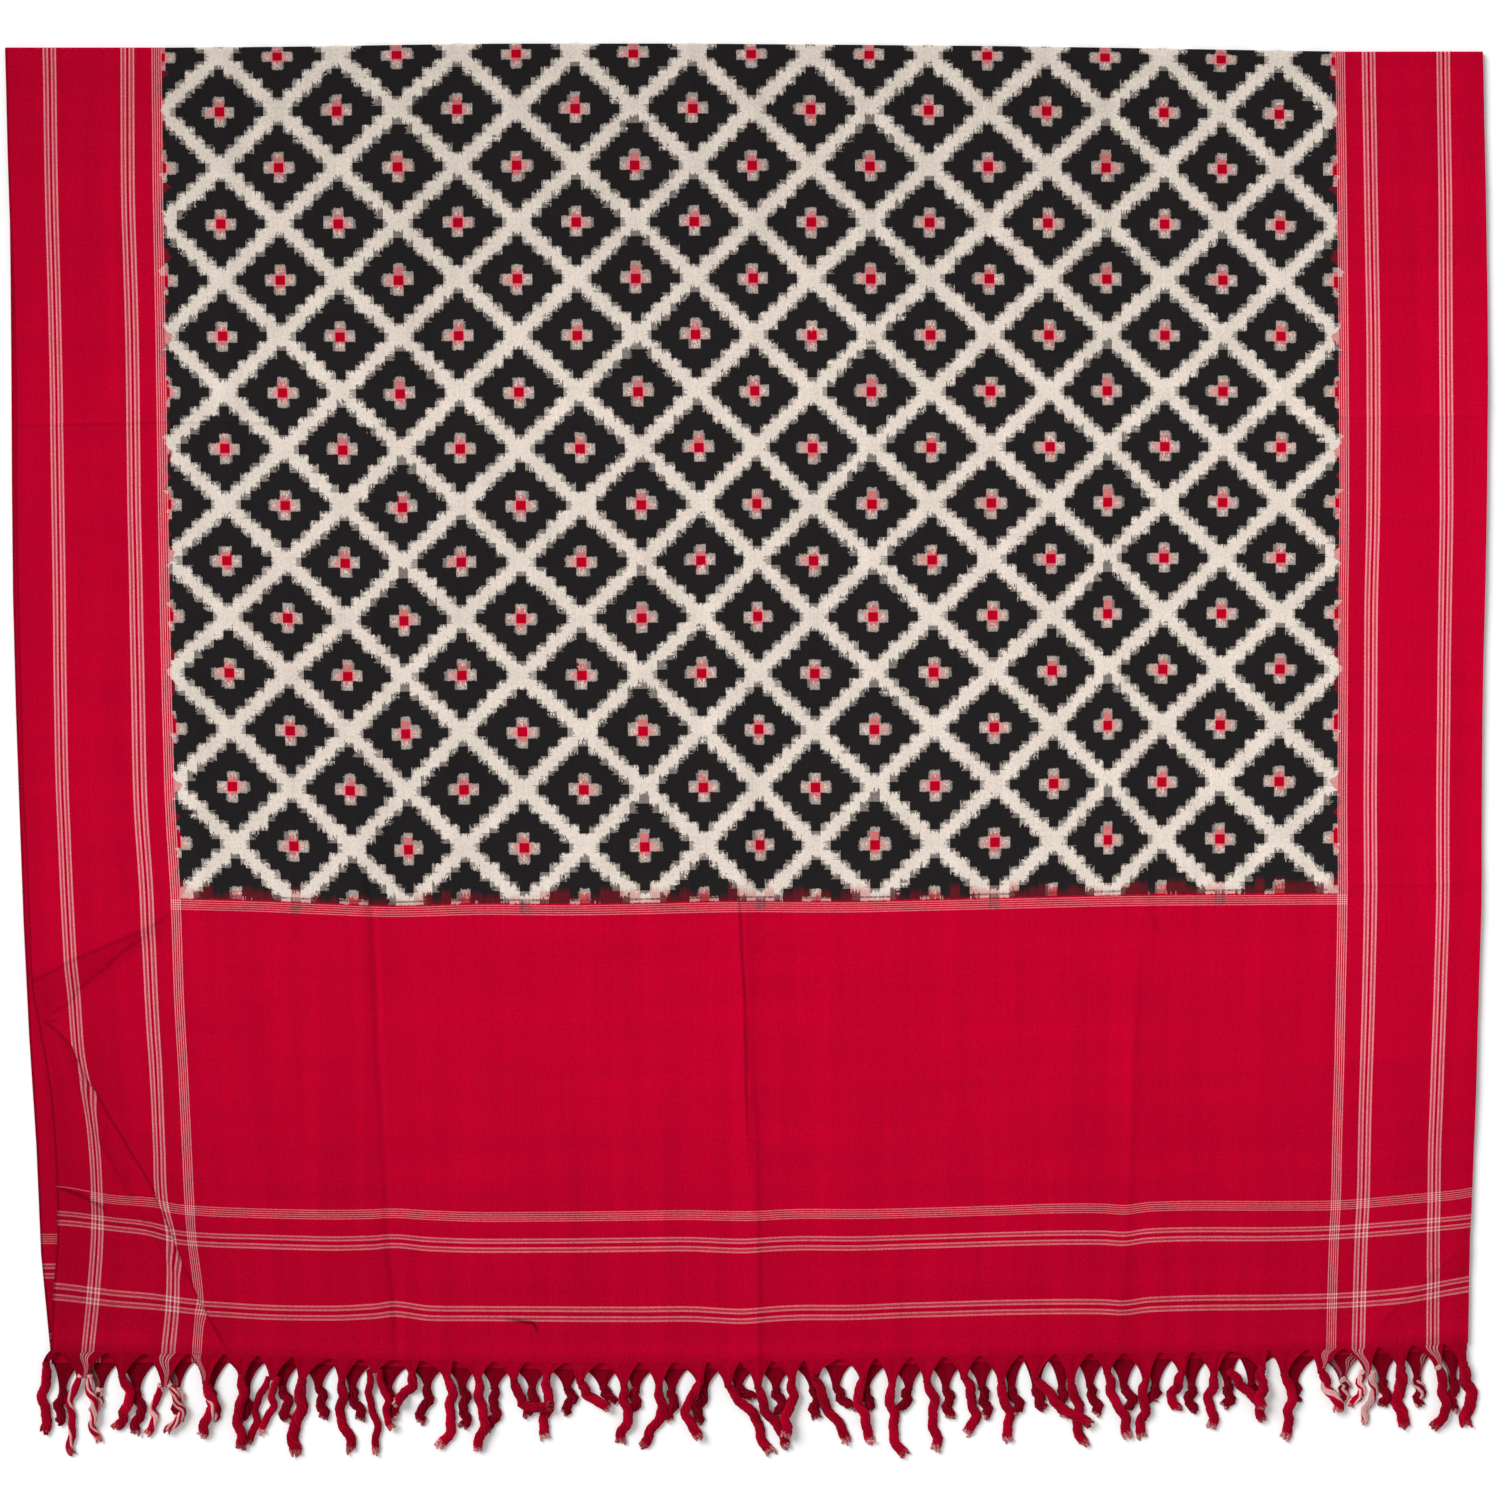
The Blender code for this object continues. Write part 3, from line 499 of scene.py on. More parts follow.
def folded_cloth(material):
    """The whole cloth as one sheet: back layer, fold and front layer."""
    sides = spaced((0, 4, 2), (4, 216, 2.1), (216, 340, 9), (340, 410, 3.4), (410, 700, 15),
                   (700, 768, 3.4), (768, 1100, 15), (1100, 1154, 3.4), (1154, CLOTH_SIDE, 11))
    alongs = spaced((0, 350, 20), (350, 410, 5), (410, 810, 22), (810, 990, 5), (990, HEM_ALONG, 4.4))
    columns = len(sides)
    layers, flats = [], []

    back_alongs = spaced((0, HEM_ALONG, 110))[1:][::-1]
    for along in back_alongs:
        down = np.full(columns, FOLD_DOWN + along * (HEM_ALONG + BACK_HEM_DROP) / HEM_ALONG)
        left = smooth(BACK_LEFT_DOWN, BACK_LEFT_ACROSS, down)
        right = warp_across(np.full(columns, CLOTH_SIDE), down)
        across = left + (right - left) * sides / CLOTH_SIDE
        if along == back_alongs[0]:
            down = back_hem_down(across)
        x, y = to_metres(across, down)
        layers.append(np.column_stack([x, y, np.zeros(columns)]))
        flat_along = -along * (HEM_ALONG - BACK_STRETCH) / HEM_ALONG
        flats.append(np.column_stack([sides, np.full(columns, flat_along)]))

    top_across = warp_across(sides, np.full(columns, FOLD_DOWN))
    top_down = weft_down(np.zeros(columns), top_across)
    x, fold_y = to_metres(top_across, top_down)
    radius = FRONT_LEVEL / 2
    bend_steps = 12
    for step in range(bend_steps):
        angle = -math.pi / 2 + math.pi * step / bend_steps
        y = fold_y - radius + radius * math.cos(angle)
        z = np.full(columns, radius + radius * math.sin(angle))
        layers.append(np.column_stack([x, y, z]))
        flat_along = (angle - math.pi / 2) * radius / PIXEL
        flats.append(np.column_stack([sides, np.full(columns, flat_along)]))

    side_grid, along_grid = (values.ravel() for values in np.meshgrid(sides, alongs))
    across, down = front_place(side_grid, along_grid)
    z = front_height(across, down)
    # The creases begin beyond the fold, whose bend takes up the first stretch of cloth
    past_fold = np.clip(along_grid / 30, 0, 1)
    z = FRONT_LEVEL + (z - FRONT_LEVEL) * past_fold
    down = np.where(along_grid < radius / PIXEL, down + radius / PIXEL - along_grid, down)
    across = lean_pleat(across, down)
    x, y = to_metres(across, down)
    hidden = sum(len(layer) for layer in layers)
    layers.append(np.column_stack([x, y, z]))
    flats.append(np.column_stack([side_grid, along_grid]))

    points = np.concatenate(layers).reshape(-1, columns, 3)
    places = np.concatenate(flats).reshape(-1, columns, 2) * PIXEL
    mesh = grid_mesh("ikat_cloth", points, places)
    line_share, line_dark = fold_lines(across, down)
    for label, values, rest in (("line_share", line_share, 9.0), ("line_dark", line_dark, 0.0)):
        values = np.concatenate([np.full(hidden, rest), values])
        mesh.attributes.new(label, "FLOAT", "POINT").data.foreach_set("value", values)
    cloth = new_object("ikat_cloth", mesh, material)
    thicken(cloth, CLOTH_THICKNESS)
    return cloth


def strand_path(tassel):
    """Closely spaced points along a strand, from its knot through its bend to its tip."""
    knot = Vector(to_metres(tassel.knot_across, tassel.knot_down))
    bend = Vector(to_metres(tassel.bend_across, tassel.bend_down))
    tip = Vector(to_metres(tassel.tip_across, tassel.tip_down))
    middle = (bend - knot).length / ((bend - knot).length + (tip - bend).length)
    handle = (bend - knot * (1 - middle) ** 2 - tip * middle ** 2) / (2 * middle * (1 - middle))
    shares = [sample / PATH_STEPS for sample in range(PATH_STEPS + 1)]
    return [knot * (1 - s) ** 2 + handle * 2 * s * (1 - s) + tip * s ** 2 for s in shares]


def strand_stations(tassel, left, right, base, steps, is_twin):
    """Sections of a tassel: its share of the hem, then its knot and the strand to the tip."""
    path = strand_path(tassel)
    width = PLY_WIDTH if is_twin else STRAND_WIDTH
    sections = [Section((left + right) / 2, (right - left).length, base, WEB_HEIGHT)]
    for step in range(steps + 1):
        place = path[round(step / steps * (len(path) - 1))]
        if step:
            sections.append(Section(place, width, 0.0, STRAND_HEIGHT))
        else:
            sections.append(Section(place, width * 1.1, 0.0, KNOT_HEIGHT))
    return sections


def between(first, second):
    """Small steps from one section to the next: place, half width and top."""
    first_top, second_top = first.floor + first.height, second.floor + second.height
    for part in range(6):
        share = part / 5
        half_width = (first.width + (second.width - first.width) * share) / 2
        top = first_top + (second_top - first_top) * share
        yield first.place.lerp(second.place, share), half_width, top


def lift_over(sections, covered, name):
    """Raise a tassel's sections where it passes over what already lies there."""
    lifts = [0.0] * len(sections)
    for number, (first, second) in enumerate(zip(sections, sections[1:])):
        beside = name if number == 0 else None
        for place, half_width, _ in between(first, second):
            for cover in covered:
                if cover.gather_of is not None and cover.gather_of == beside:
                    continue
                if (place - cover.place).length < half_width + cover.half_width + STRAND_CLEARANCE:
                    need = cover.top + STRAND_CLEARANCE
                    lifts[number] = max(lifts[number], need)
                    lifts[number + 1] = max(lifts[number + 1], need)
    raised = [section._replace(floor=lift) for section, lift in zip(sections[1:], lifts[1:])]
    return sections[:1] + raised


def midway(first, places, last):
    """Places halfway between neighbours, with a first and a last one."""
    return [first] + [(a + b) / 2 for a, b in zip(places, places[1:])] + [last]


def lie_down(name, tassels, hem, base, steps, covered):
    """Sections of every tassel of one fringe, each lying on what is under it."""
    order = sorted(range(len(tassels)), key=lambda index: tassels[index].knot_across)
    notches = midway(HEM_LEFT, [tassels[index].knot_across for index in order], HEM_RIGHT)
    downs = hem(np.array(notches, float))
    corners = [Vector(to_metres(across, down)) for across, down in zip(notches, downs)]
    laid = []
    for index, tassel in enumerate(tassels):
        position = order.index(index)
        is_twin = any(abs(tassel.knot_across - other.knot_across) < TWIN_PIXELS
                      for other in tassels if other is not tassel)
        left, right = corners[position:position + 2]
        sections = strand_stations(tassel, left, right, base, steps, is_twin)
        sections = lift_over(sections, covered, name)
        laid.append(Laid(tassel, is_twin, sections))
        for number, (first, second) in enumerate(zip(sections, sections[1:])):
            gather_of = None if number else name
            covered.extend(Cover(*step, gather_of) for step in between(first, second))
    return laid


def side_at_hem(across):
    """Flat place of the warp thread that meets the front hem at a place across."""
    sides = np.linspace(0, CLOTH_SIDE, 400)
    places = warp_across(sides, np.full(len(sides), HEM_DOWN))
    return np.interp(across, places, sides)


def stripe_share(left, right):
    """Share of pale warp threads in a gather, from its flat left and right places."""
    share = 0
    stripes = [(side, 7, 0.5) for side in PAIR_SIDES] + [(side, 4.5, 0.35) for side in FINE_SIDES]
    for centre, half, amount in stripes:
        overlap = min(right, centre + half) - max(left, centre - half)
        share = max(share, amount * max(overlap, 0) / (2 * half))
    return share


def gather_points(left, right, knot, knot_z, hem, top_z_at, seed):
    """One gather: a web of warp threads from its stretch of the hem, drawn in to its knot."""
    columns, rows = 12, 9
    points, flats = [], []
    sides = side_at_hem(np.linspace(left, right, columns))
    hem_line = hem(np.linspace(left, right, columns))
    top_z = top_z_at(np.linspace(left, right, columns), hem_line - 1)
    for row in range(rows):
        share = row / (rows - 1)
        drawn = 1 - (1 - share) ** 1.7
        for column in range(columns):
            place = column / (columns - 1)
            from_middle = place - 0.5
            hem_across = left + (right - left) * place
            knot_across = knot[0] + from_middle * KNOT_PIXELS
            across = hem_across + (knot_across - hem_across) * drawn
            slack = share * (1 - 0.20 * (2 * abs(from_middle)) ** 2 * (1 - share))
            down = hem_line[column] - 1 + (knot[1] - hem_line[column] + 1) * slack
            wave = math.sin(place * 17 + seed * 2.3) * 0.0003 + math.sin(place * 9 + seed) * 0.0004
            z = top_z[column] + (knot_z - top_z[column]) * share
            z = max(z + wave * math.sin(math.pi * min(share * 1.3, 1)), GATHER_THICKNESS + 0.0001)
            x, y = to_metres(across, down)
            points.append((x, y, z))
            # The warp threads bend one way and then the other on their way to the knot
            bend = 4.5 * math.sin(2 * math.pi * share) * (1 - (2 * from_middle) ** 2)
            flats.append((sides[column] + bend, HEM_ALONG - 1 + (knot[1] - hem_line[column]) * share))
    return np.array(points).reshape(rows, columns, 3), np.array(flats).reshape(rows, columns, 2) * PIXEL


def gathers(name, laid, notches, hem, top_z_at, sign, material):
    """All the gathers of one hem as one piece."""
    bundle = bmesh.new()
    for number, (left, right) in enumerate(zip(notches, notches[1:])):
        centre = (left + right) / 2

        def off_centre(item, centre=centre):
            return abs(item.tassel.knot_across - centre)

        held = [item for item in laid if left <= item.tassel.knot_across < right]
        main = min(held or laid, key=off_centre)
        knots = [item.tassel.knot_across for item in held or [main]]
        fed = [knot for knot in knots if abs(knot - main.tassel.knot_across) < TWIN_PIXELS]
        knot = (sum(fed) / len(fed), main.tassel.knot_down + 2)
        section = main.sections[1]
        knot_z = section.floor + section.height * 0.75
        points, flats = gather_points(left, right, knot, knot_z, hem, top_z_at, number)
        flats[..., 1] *= sign
        web = grid_mesh("web", points, flats)
        bundle.from_mesh(web)
        bpy.data.meshes.remove(web)
    mesh = bpy.data.meshes.new(name)
    bundle.to_mesh(mesh)
    bundle.free()
    piece = new_object(name, mesh, material)
    thicken(piece, GATHER_THICKNESS)
    return piece


def math_node(operation, turned=False):
    """A method that puts a value, and what it is summed with, through a Math node."""
    def method(value, *others):
        values = (value, *others)
        return value.nodes.sum(operation, *(values[::-1] if turned else values))
    return method


class Value:
    """One output of a node, which takes part in sums as a number does."""

    __add__ = __radd__ = math_node("ADD")
    __mul__ = __rmul__ = math_node("MULTIPLY")
    __sub__ = math_node("SUBTRACT")
    __rsub__ = math_node("SUBTRACT", turned=True)
    __truediv__ = math_node("DIVIDE")
    __pow__ = math_node("POWER")
    __mod__ = math_node("MODULO")
    __lt__ = math_node("LESS_THAN")
    __gt__ = math_node("GREATER_THAN")
    __abs__ = math_node("ABSOLUTE")
    __floor__ = math_node("FLOOR")
    __round__ = math_node("ROUND")
    at_least = math_node("MAXIMUM")
    at_most = math_node("MINIMUM")
    is_near = math_node("COMPARE")
    to_and_fro = math_node("PINGPONG")
    wrapped = math_node("WRAP")
    fraction = math_node("FRACT")
    sign = math_node("SIGN")
    sine = math_node("SINE")
    cosine = math_node("COSINE")

    def __init__(self, nodes, socket):
        self.nodes = nodes
        self.socket = socket


class Outputs:
    """The outputs of one node, each taken as a value by its name or number."""

    def __init__(self, nodes, node):
        self.nodes = nodes
        self.node = node

    def __getitem__(self, key):
        return Value(self.nodes, self.node.outputs[key])


class Nodes:
    """Makes and links the nodes of one tree."""

    def __init__(self, tree):
        self.tree = tree

    def add(self, kind, inputs=None, **settings):
        """The outputs of a new node, from its settings and its inputs by name or number."""
        node = self.tree.nodes.new(kind)
        for name, value in settings.items():
            setattr(node, name, value)
        for name, value in (inputs or {}).items():
            if isinstance(value, Value):
                self.tree.links.new(value.socket, node.inputs[name])
            else:
                node.inputs[name].default_value = value
        return Outputs(self, node)

    def sum(self, operation, *values):
        """The result of a Math node."""
        return self.add("ShaderNodeMath", dict(enumerate(values)), operation=operation)[0]

    def vector(self, operation, inputs):
        """The result of a Vector Math node."""
        return self.add("ShaderNodeVectorMath", inputs, operation=operation)[0]

    def noise(self, vector, scale, detail=2.0, dimensions="2D"):
        """A noise value from 0 to 1 at a place."""
        inputs = {"Vector": vector, "Scale": scale, "Detail": detail}
        return self.add("ShaderNodeTexNoise", inputs, noise_dimensions=dimensions)["Fac"]

    def place(self, x, y, z=0.0):
        """A vector from its parts."""
        return self.add("ShaderNodeCombineXYZ", {0: x, 1: y, 2: z})[0]

    def dice(self, x, y):
        """A different random value from 0 to 1 for each pair of whole numbers."""
        inputs = {"Vector": self.place(x, y)}
        return self.add("ShaderNodeTexWhiteNoise", inputs, noise_dimensions="2D")["Value"]

    def blend(self, share, first, second):
        """A colour between two others."""
        return self.add("ShaderNodeMix", {0: share, 6: first, 7: second}, data_type="RGBA")[2]

    def attribute(self, label):
        """A mesh attribute's value, in a material."""
        return self.add("ShaderNodeAttribute", attribute_name=label)["Fac"]


def fabric(name, roughness, sheen):
    """A new matte material with its node helper and its shader."""
    material = bpy.data.materials.new(name)
    material.use_nodes = True
    shader = material.node_tree.nodes["Principled BSDF"]
    shader.inputs["Roughness"].default_value = roughness
    shader.inputs["Specular IOR Level"].default_value = 0.02
    shader.inputs["Sheen Weight"].default_value = sheen
    shader.inputs["Sheen Roughness"].default_value = 0.5
    return material, Nodes(material.node_tree), shader


def finish_fabric(n, shader, colour, shade, relief):
    """Give a shader its colour at each place, darkened by its shade, and its fine relief."""
    shaded = n.vector("SCALE", {0: colour, "Scale": shade})
    n.tree.links.new(shaded.socket, shader.inputs["Base Color"])
    n.tree.links.new(n.add("ShaderNodeBump", relief)[0].socket, shader.inputs["Normal"])


def inside(value, low, high):
    """1 between two limits, and 0 outside them."""
    return (value > low) * (value < high)


def nearest(value, *centres):
    """Distance to the nearest of several places."""
    return reduce(Value.at_most, [abs(value - centre) for centre in centres])


def lattice(column, row):
    """Level of a lattice step, from 0 at the heart of a diamond to 6 on the lattice lines."""
    total = column.to_and_fro(HALF_REPEAT) + row.to_and_fro(HALF_REPEAT)
    return total.at_most(2 * HALF_REPEAT - total)


def dyed(n, level):
    """Colour of a thread at a lattice level: red, cream, black, then cream again."""
    is_cream = level.is_near(1, 0.5).at_least(level > 4.5)
    return n.blend(level < 0.5, n.blend(is_cream, BLACK, CREAM), RED)


def spread(place, other_whole, out_before, out_after):
    """Place along a thread as if the dye hadn't spread outwards from the nearest heart."""
    to_even = place.wrapped(HALF_REPEAT, -HALF_REPEAT)
    to_odd = (place - HALF_REPEAT).wrapped(HALF_REPEAT, -HALF_REPEAT)
    total = other_whole.to_and_fro(HALF_REPEAT) + place.to_and_fro(HALF_REPEAT)
    is_odd = total > HALF_REPEAT
    to_heart = to_even + is_odd * (to_odd - to_even)
    # Black has spread freely into the cream lines, and so has red, but cream hardly
    level = total.at_most(2 * HALF_REPEAT - total)
    from_black = (level * 0.7 - 1.8).at_most(1).at_least(0)
    from_red = (level * -2.5 + 4.0).at_most(1).at_least(0)
    freely = from_black * 0.52 + (from_red * 0.78 + 0.22)
    out_before = out_before * freely
    out_after = out_after * freely
    moved = (to_heart < 0) * (out_before + out_after) - out_after
    return place + moved.sign() * abs(to_heart).at_most(abs(moved))


def double_band(distance, pair_place):
    """Two pairs of pale lines, with a faint line inside each pair."""
    from_pair = abs(distance - pair_place)
    return from_pair.is_near(1.85, 0.80).at_least((from_pair < 0.6) * 0.20)


def thin_band(distance):
    """Five fine pale lines."""
    from_line = abs((distance / 2.2 + 0.5).fraction() - 0.5)
    return (from_line < 0.20) * (distance < 5.0)


def stripes(side, along, from_fold):
    """How pale the warp and the weft are at a place, from their stripes."""
    warp_pale = double_band(nearest(side, *PAIR_SIDES), 4.0)
    warp_pale = warp_pale.at_least(thin_band(nearest(side, *FINE_SIDES)))
    # The pocket at the left selvedge hides most of the panel's fine band
    is_seen = (side > POCKET_SIDE).at_least(along < PANEL_BAND - 3)
    panel_band = thin_band(nearest(from_fold, PANEL_BAND)) * is_seen
    weft_pale = double_band(nearest(from_fold, *PAIR_ALONGS), 4.7).at_least(panel_band)
    field_band = thin_band(nearest(from_fold, FIELD_BAND)) * inside(side, BAND_LEFT, BAND_RIGHT)
    return warp_pale, weft_pale.at_least(field_band)


def streaks_and_painted_shade(n, side, along, from_fold, mottle):
    """Streaks along both threads, mottling, and painted shade near the fold, hem and corners."""
    warp_streak = n.noise(n.place(side * 0.05, along * 0.0022), 1.0, 3)
    fine_streak = n.noise(n.place(side * 0.8, along * 0.01), 1.0, 2)
    weft_streak = n.noise(n.place(side * 0.003, along * 0.045), 1.0, 3)
    grain = n.noise(n.place(side, along), 0.33, 2)
    shade = warp_streak * 0.22 + 0.86
    for noise, amount, rest in ((weft_streak, 0.16, 0.93), (fine_streak, 0.16, 0.92),
                                (mottle, 0.38, 0.81), (grain, 0.34, 0.83)):
        shade = shade * (noise * amount + rest)
    # Painted shade near the fold and the hem, and a painted gradient from darker at the left to lighter at
    # the right
    near_fold = 1 - (from_fold / 350).at_most(1)
    near_hem = ((from_fold - 1010) / 301).at_least(0)
    shade = (shade - near_fold * 0.16 - near_hem * 0.20) * (side * 0.00005 + 0.955)
    # Painted shade along the left side and towards the lower corners
    near_left = (1 - side / 190).at_least(0)
    off_middle = abs(side * (2 / CLOTH_SIDE) - 1)
    low_down = (from_fold * 0.005 - 4.2).at_least(0).at_most(1)
    corners = near_left * 0.08 + off_middle * off_middle * low_down * 0.13
    # A painted highlight in a line just above the hem, and painted shade along the edge below it and at the
    # left selvedge
    hem_painted_highlight = (1 - abs(from_fold - 1298) / 7).at_least(0)
    shade = shade * (hem_painted_highlight * 0.07 + 1)
    hem_painted_shade = (from_fold * 0.2 - 260.6).at_least(0).at_most(1)
    edge = hem_painted_shade * 0.10 + (side < 2.6) * 0.30
    return shade * (1 - (edge + corners))


def ikat_cotton(name, painted_lightness):
    """Double ikat: resist-dyed warp and weft cross, and both decide the colour of a place."""
    material, n, shader = fabric(name, 0.90, 0.0)
    flat = n.add("ShaderNodeSeparateXYZ", {0: n.add("ShaderNodeUVMap", uv_map="flat_cloth")[0]})
    side = flat[0] / PIXEL
    along = flat[1] / PIXEL
    from_fold = abs(along)
    warp_thread = math.floor(side / WARP_PITCH)
    weft_thread = math.floor(along / WEFT_PITCH)

    column = (side - FIRST_HEART_SIDE) / STEP_SIDE
    # The front's last rows lie a little further from the fold than even steps would
    late = (along - LATE_FROM).at_least(0)
    row = ((late * -LATE_SHARE + along - FIRST_HEART_ALONG) / STEP_ALONG).at_most(LAST_ROW)
    whole_column = round(column)
    whole_row = round(row)

    # Warp dye has crept up into feathered teeth, most in every other heart's columns, and a
    # little down. Whole columns have slipped a little as well.
    tooth = math.floor(side / 1.3)
    cell = math.floor(row)
    at_even_heart = 1 - (column.to_and_fro(2 * HALF_REPEAT) / 4.5).at_most(1)
    column_dice = n.dice(whole_column, cell)
    teeth = n.dice(tooth, cell) * 0.6 + n.dice(warp_thread, cell) * 0.4
    more_up = at_even_heart * (column_dice * 0.60 + 0.30)
    creep_up = teeth + (column_dice * 0.44 - 0.14) + more_up
    creep_down = n.dice(tooth, cell + 0.5) * 0.42 + n.dice(warp_thread, cell + 0.5) * 0.36
    slipped = row + (n.dice(whole_column, 7) - 0.5) * 0.30
    warp_row = round(spread(slipped, whole_column, creep_up, creep_down))
    warp_level = lattice(whole_column, warp_row)

    # Weft dye has crept less, and to both sides
    strip = math.floor(along / 1.15)
    cell = math.floor(column)
    creep_left = n.dice(whole_row, cell) * (n.dice(strip, cell) * 0.7)
    creep_left = creep_left + (n.dice(weft_thread, cell) * 0.40 + 0.12)
    creep_right = n.dice(strip, cell + 0.5) * 0.40 + (n.dice(weft_thread, cell + 0.5) * 0.34 + 0.08)
    drift = n.noise(n.place(side * 0.006, whole_row * 0.9), 1.0, 2)
    row_slip = (drift - 0.5) * 0.70 + (n.dice(whole_row, 3) - 0.5) * 0.26
    weft_column = round(spread(column + row_slip, whole_row, creep_left, creep_right))
    weft_level = lattice(weft_column, whole_row)

    ragged_end = n.dice(tooth, 5) * 1.4 + FIELD_END
    warp_field = inside(side, FIELD_LEFT, FIELD_RIGHT) * (from_fold < ragged_end)
    # The dyed weft starts unevenly, inside the border's fine stripe or just beyond it
    weft_start = (n.noise(n.place(3.0, along * 0.06), 1.0, 3) - 0.5) * 34 + 157
    from_end = (side - BAND_LEFT).at_most(BAND_RIGHT - side)
    weft_field = (from_end > weft_start - BAND_LEFT) * (from_fold < FIELD_END)
    both_dyed = warp_field * weft_field
    # Red has crept into its last rows, in some columns more than in others
    reddened = n.dice(whole_column, 31) * 14 + n.dice(tooth, 33) * 4
    reddened = ((from_fold - (FIELD_END - 2) + reddened) * 0.10).at_most(0.75).at_least(0)
    weft_dyed = n.blend(reddened, dyed(n, weft_level), RED)
    # Between the lattice and the panel, the black of every other column runs on for a while
    from_odd_heart = abs(column.to_and_fro(2 * HALF_REPEAT) - 2 * HALF_REPEAT)
    black_end = (from_odd_heart < 0.55) * (n.dice(tooth, 9) * 9 + 9) + (FIELD_END - 2)
    runs_on = inside(side, 170, 1320) * inside(from_fold, FIELD_END - 4, black_end)

    warp_pale, weft_pale = stripes(side, along, from_fold)
    warp_colour = n.blend(warp_pale, RED, STRIPE_CREAM)
    warp_colour = n.blend(warp_field, warp_colour, dyed(n, warp_level))
    warp_colour = n.blend(runs_on * (n.dice(tooth, 12) * 0.6 + 0.4), warp_colour, BLACK)
    weft_colour = n.blend(weft_field, n.blend(weft_pale, RED, STRIPE_CREAM), weft_dyed)

    # The warp shows a little more than the weft, and alone beyond the hem
    is_over = (abs(warp_thread + weft_thread) % 2).is_near(1, 0.5)
    uneven = (n.dice(warp_thread, weft_thread) - 0.5) * 0.24
    beyond_hem = from_fold > HEM_ALONG + 0.5
    warp_share = (is_over * 0.44 + 0.40 + uneven).at_least(beyond_hem * 0.97)
    woven = n.blend(warp_share, weft_colour, warp_colour)
    # In the lattice each thread also filters the light that the other gives back
    filtered = n.vector("MULTIPLY", {0: warp_colour, 1: weft_colour})
    filtered = n.vector("MULTIPLY", {0: filtered, 1: (1.32, 1.50, 1.71)})
    woven = n.blend(warp_field * 0.32, woven, filtered)
    # The cream round a heart is soiled by its neighbours: some threads are pink, and more
    # are grey towards the ends of its arms
    near_heart = warp_level.is_near(1, 0.5) * weft_level.is_near(1, 0.5)
    soil = n.noise(n.place(side * 0.75, along * 0.30), 1.0, 2)
    is_grey = near_heart * (soil > lattice(column, row) * -0.20 + 0.74)
    is_pink = near_heart * (soil < 0.38)
    woven = n.blend(is_grey * both_dyed * 0.56, woven, BLACK)
    woven = n.blend(is_pink * both_dyed * 0.42, woven, RED)
    both_pale = warp_pale * weft_pale * (1 - warp_field)
    woven = n.blend(both_pale * 0.9, woven, CROSSING_CREAM)

    mottle = n.noise(n.place(side, along), 0.9, 3)
    # Painted shade along the pressed fold lines, and the loose thread's own dark colour
    from_line = abs(n.attribute("line_share")).at_most(1)
    fold_line = (1 - from_line * from_line) ** 1.5 * n.attribute("line_dark")
    # The last factor darkens a whole copy of this material as painted shade, for the gathers
    shade = streaks_and_painted_shade(n, side, along, from_fold, mottle) * (1 - fold_line) * painted_lightness

    # Threads stand up where they lie on top, and the cloth is crimped
    weave = (side * (math.pi / WARP_PITCH)).sine() * (along * (math.pi / WEFT_PITCH)).sine()
    crimp = n.noise(n.place(side, along * 0.8), 0.16, 3)
    height = weave * 0.5 + mottle * 0.8 + crimp * 1.2 - fold_line * 2.0
    relief = {"Height": height, "Distance": 0.00022, "Strength": 0.6}
    finish_fabric(n, shader, woven, shade, relief)
    return material


def warp_yarn(name, red):
    """Loose twisted warp yarn, with pale yarns where a stripe ends, and pale cut tips."""
    material, n, shader = fabric(name, 0.95, 0.02)
    turn = n.attribute("yarn")
    strand = n.attribute("seed")
    place = n.add("ShaderNodeTexCoord")["Object"]
    fibre = n.noise(place, 900, 3, "3D")
    patch = n.noise(place, 60, 2, "3D")
    colour = n.blend(turn < n.attribute("pale"), red, PALE_YARN)
    is_tip = n.attribute("share") + fibre * 0.16 > 0.985
    colour = n.blend(is_tip * (n.dice(strand, 5) * 0.7), colour, PALE_TIP)
    shade = (fibre * 0.6 + 0.60) * (patch * 0.7 + 0.62)
    shade = shade * (n.dice(strand, 1) * 0.35 + 0.78) * (turn * 0.35 + 0.80)
    parts = n.add("ShaderNodeSeparateXYZ", {0: place})
    twist = n.noise(n.place(parts[0], parts[1] * 0.35, parts[2]), 1500, 2, "3D")
    finish_fabric(n, shader, colour, shade, {"Height": twist, "Distance": 0.0003, "Strength": 0.7})
    return material


def strand_lines(name, laid, stripes):
    """The middle lines of the strands as edges, with each strand's own values on its points."""
    verts, edges, wide, pale, seed = [], [], [], [], []
    for number, ((tassel, is_twin, sections), stripe) in enumerate(zip(laid, stripes)):
        path = strand_path(tassel)[::PATH_STEPS // 16]
        width = TWIN_SHARE if is_twin else 1.0
        if tassel.knot_across in WIDE_KNOTS:
            width *= WIDE_SHARE
        heights = [section.floor + section.height / 2 for section in sections[1:]]
        stations = np.linspace(0, 1, len(heights))
        for index, place in enumerate(path):
            share = index / (len(path) - 1)
            z = float(smooth(stations, heights, [share])[0])
            # Slow and quick bends of a loose strand, but none at its knot
            wobble = 0.0020 * math.sin(share * 10 + number * 1.7)
            wobble += 0.0008 * math.sin(share * 23 + number * 3.1)
            wobble *= min(share * 4, 1)
            verts.append((place.x + wobble, place.y, z))
            if index:
                edges.append((len(verts) - 2, len(verts) - 1))
            wide.append(width)
            pale.append(stripe)
            seed.append(number)
    mesh = bpy.data.meshes.new(name)
    mesh.from_pydata(verts, edges, [])
    for label, values in (("wide", wide), ("pale", pale), ("seed", seed)):
        mesh.attributes.new(label, "FLOAT", "POINT").data.foreach_set("value", values)
    return mesh


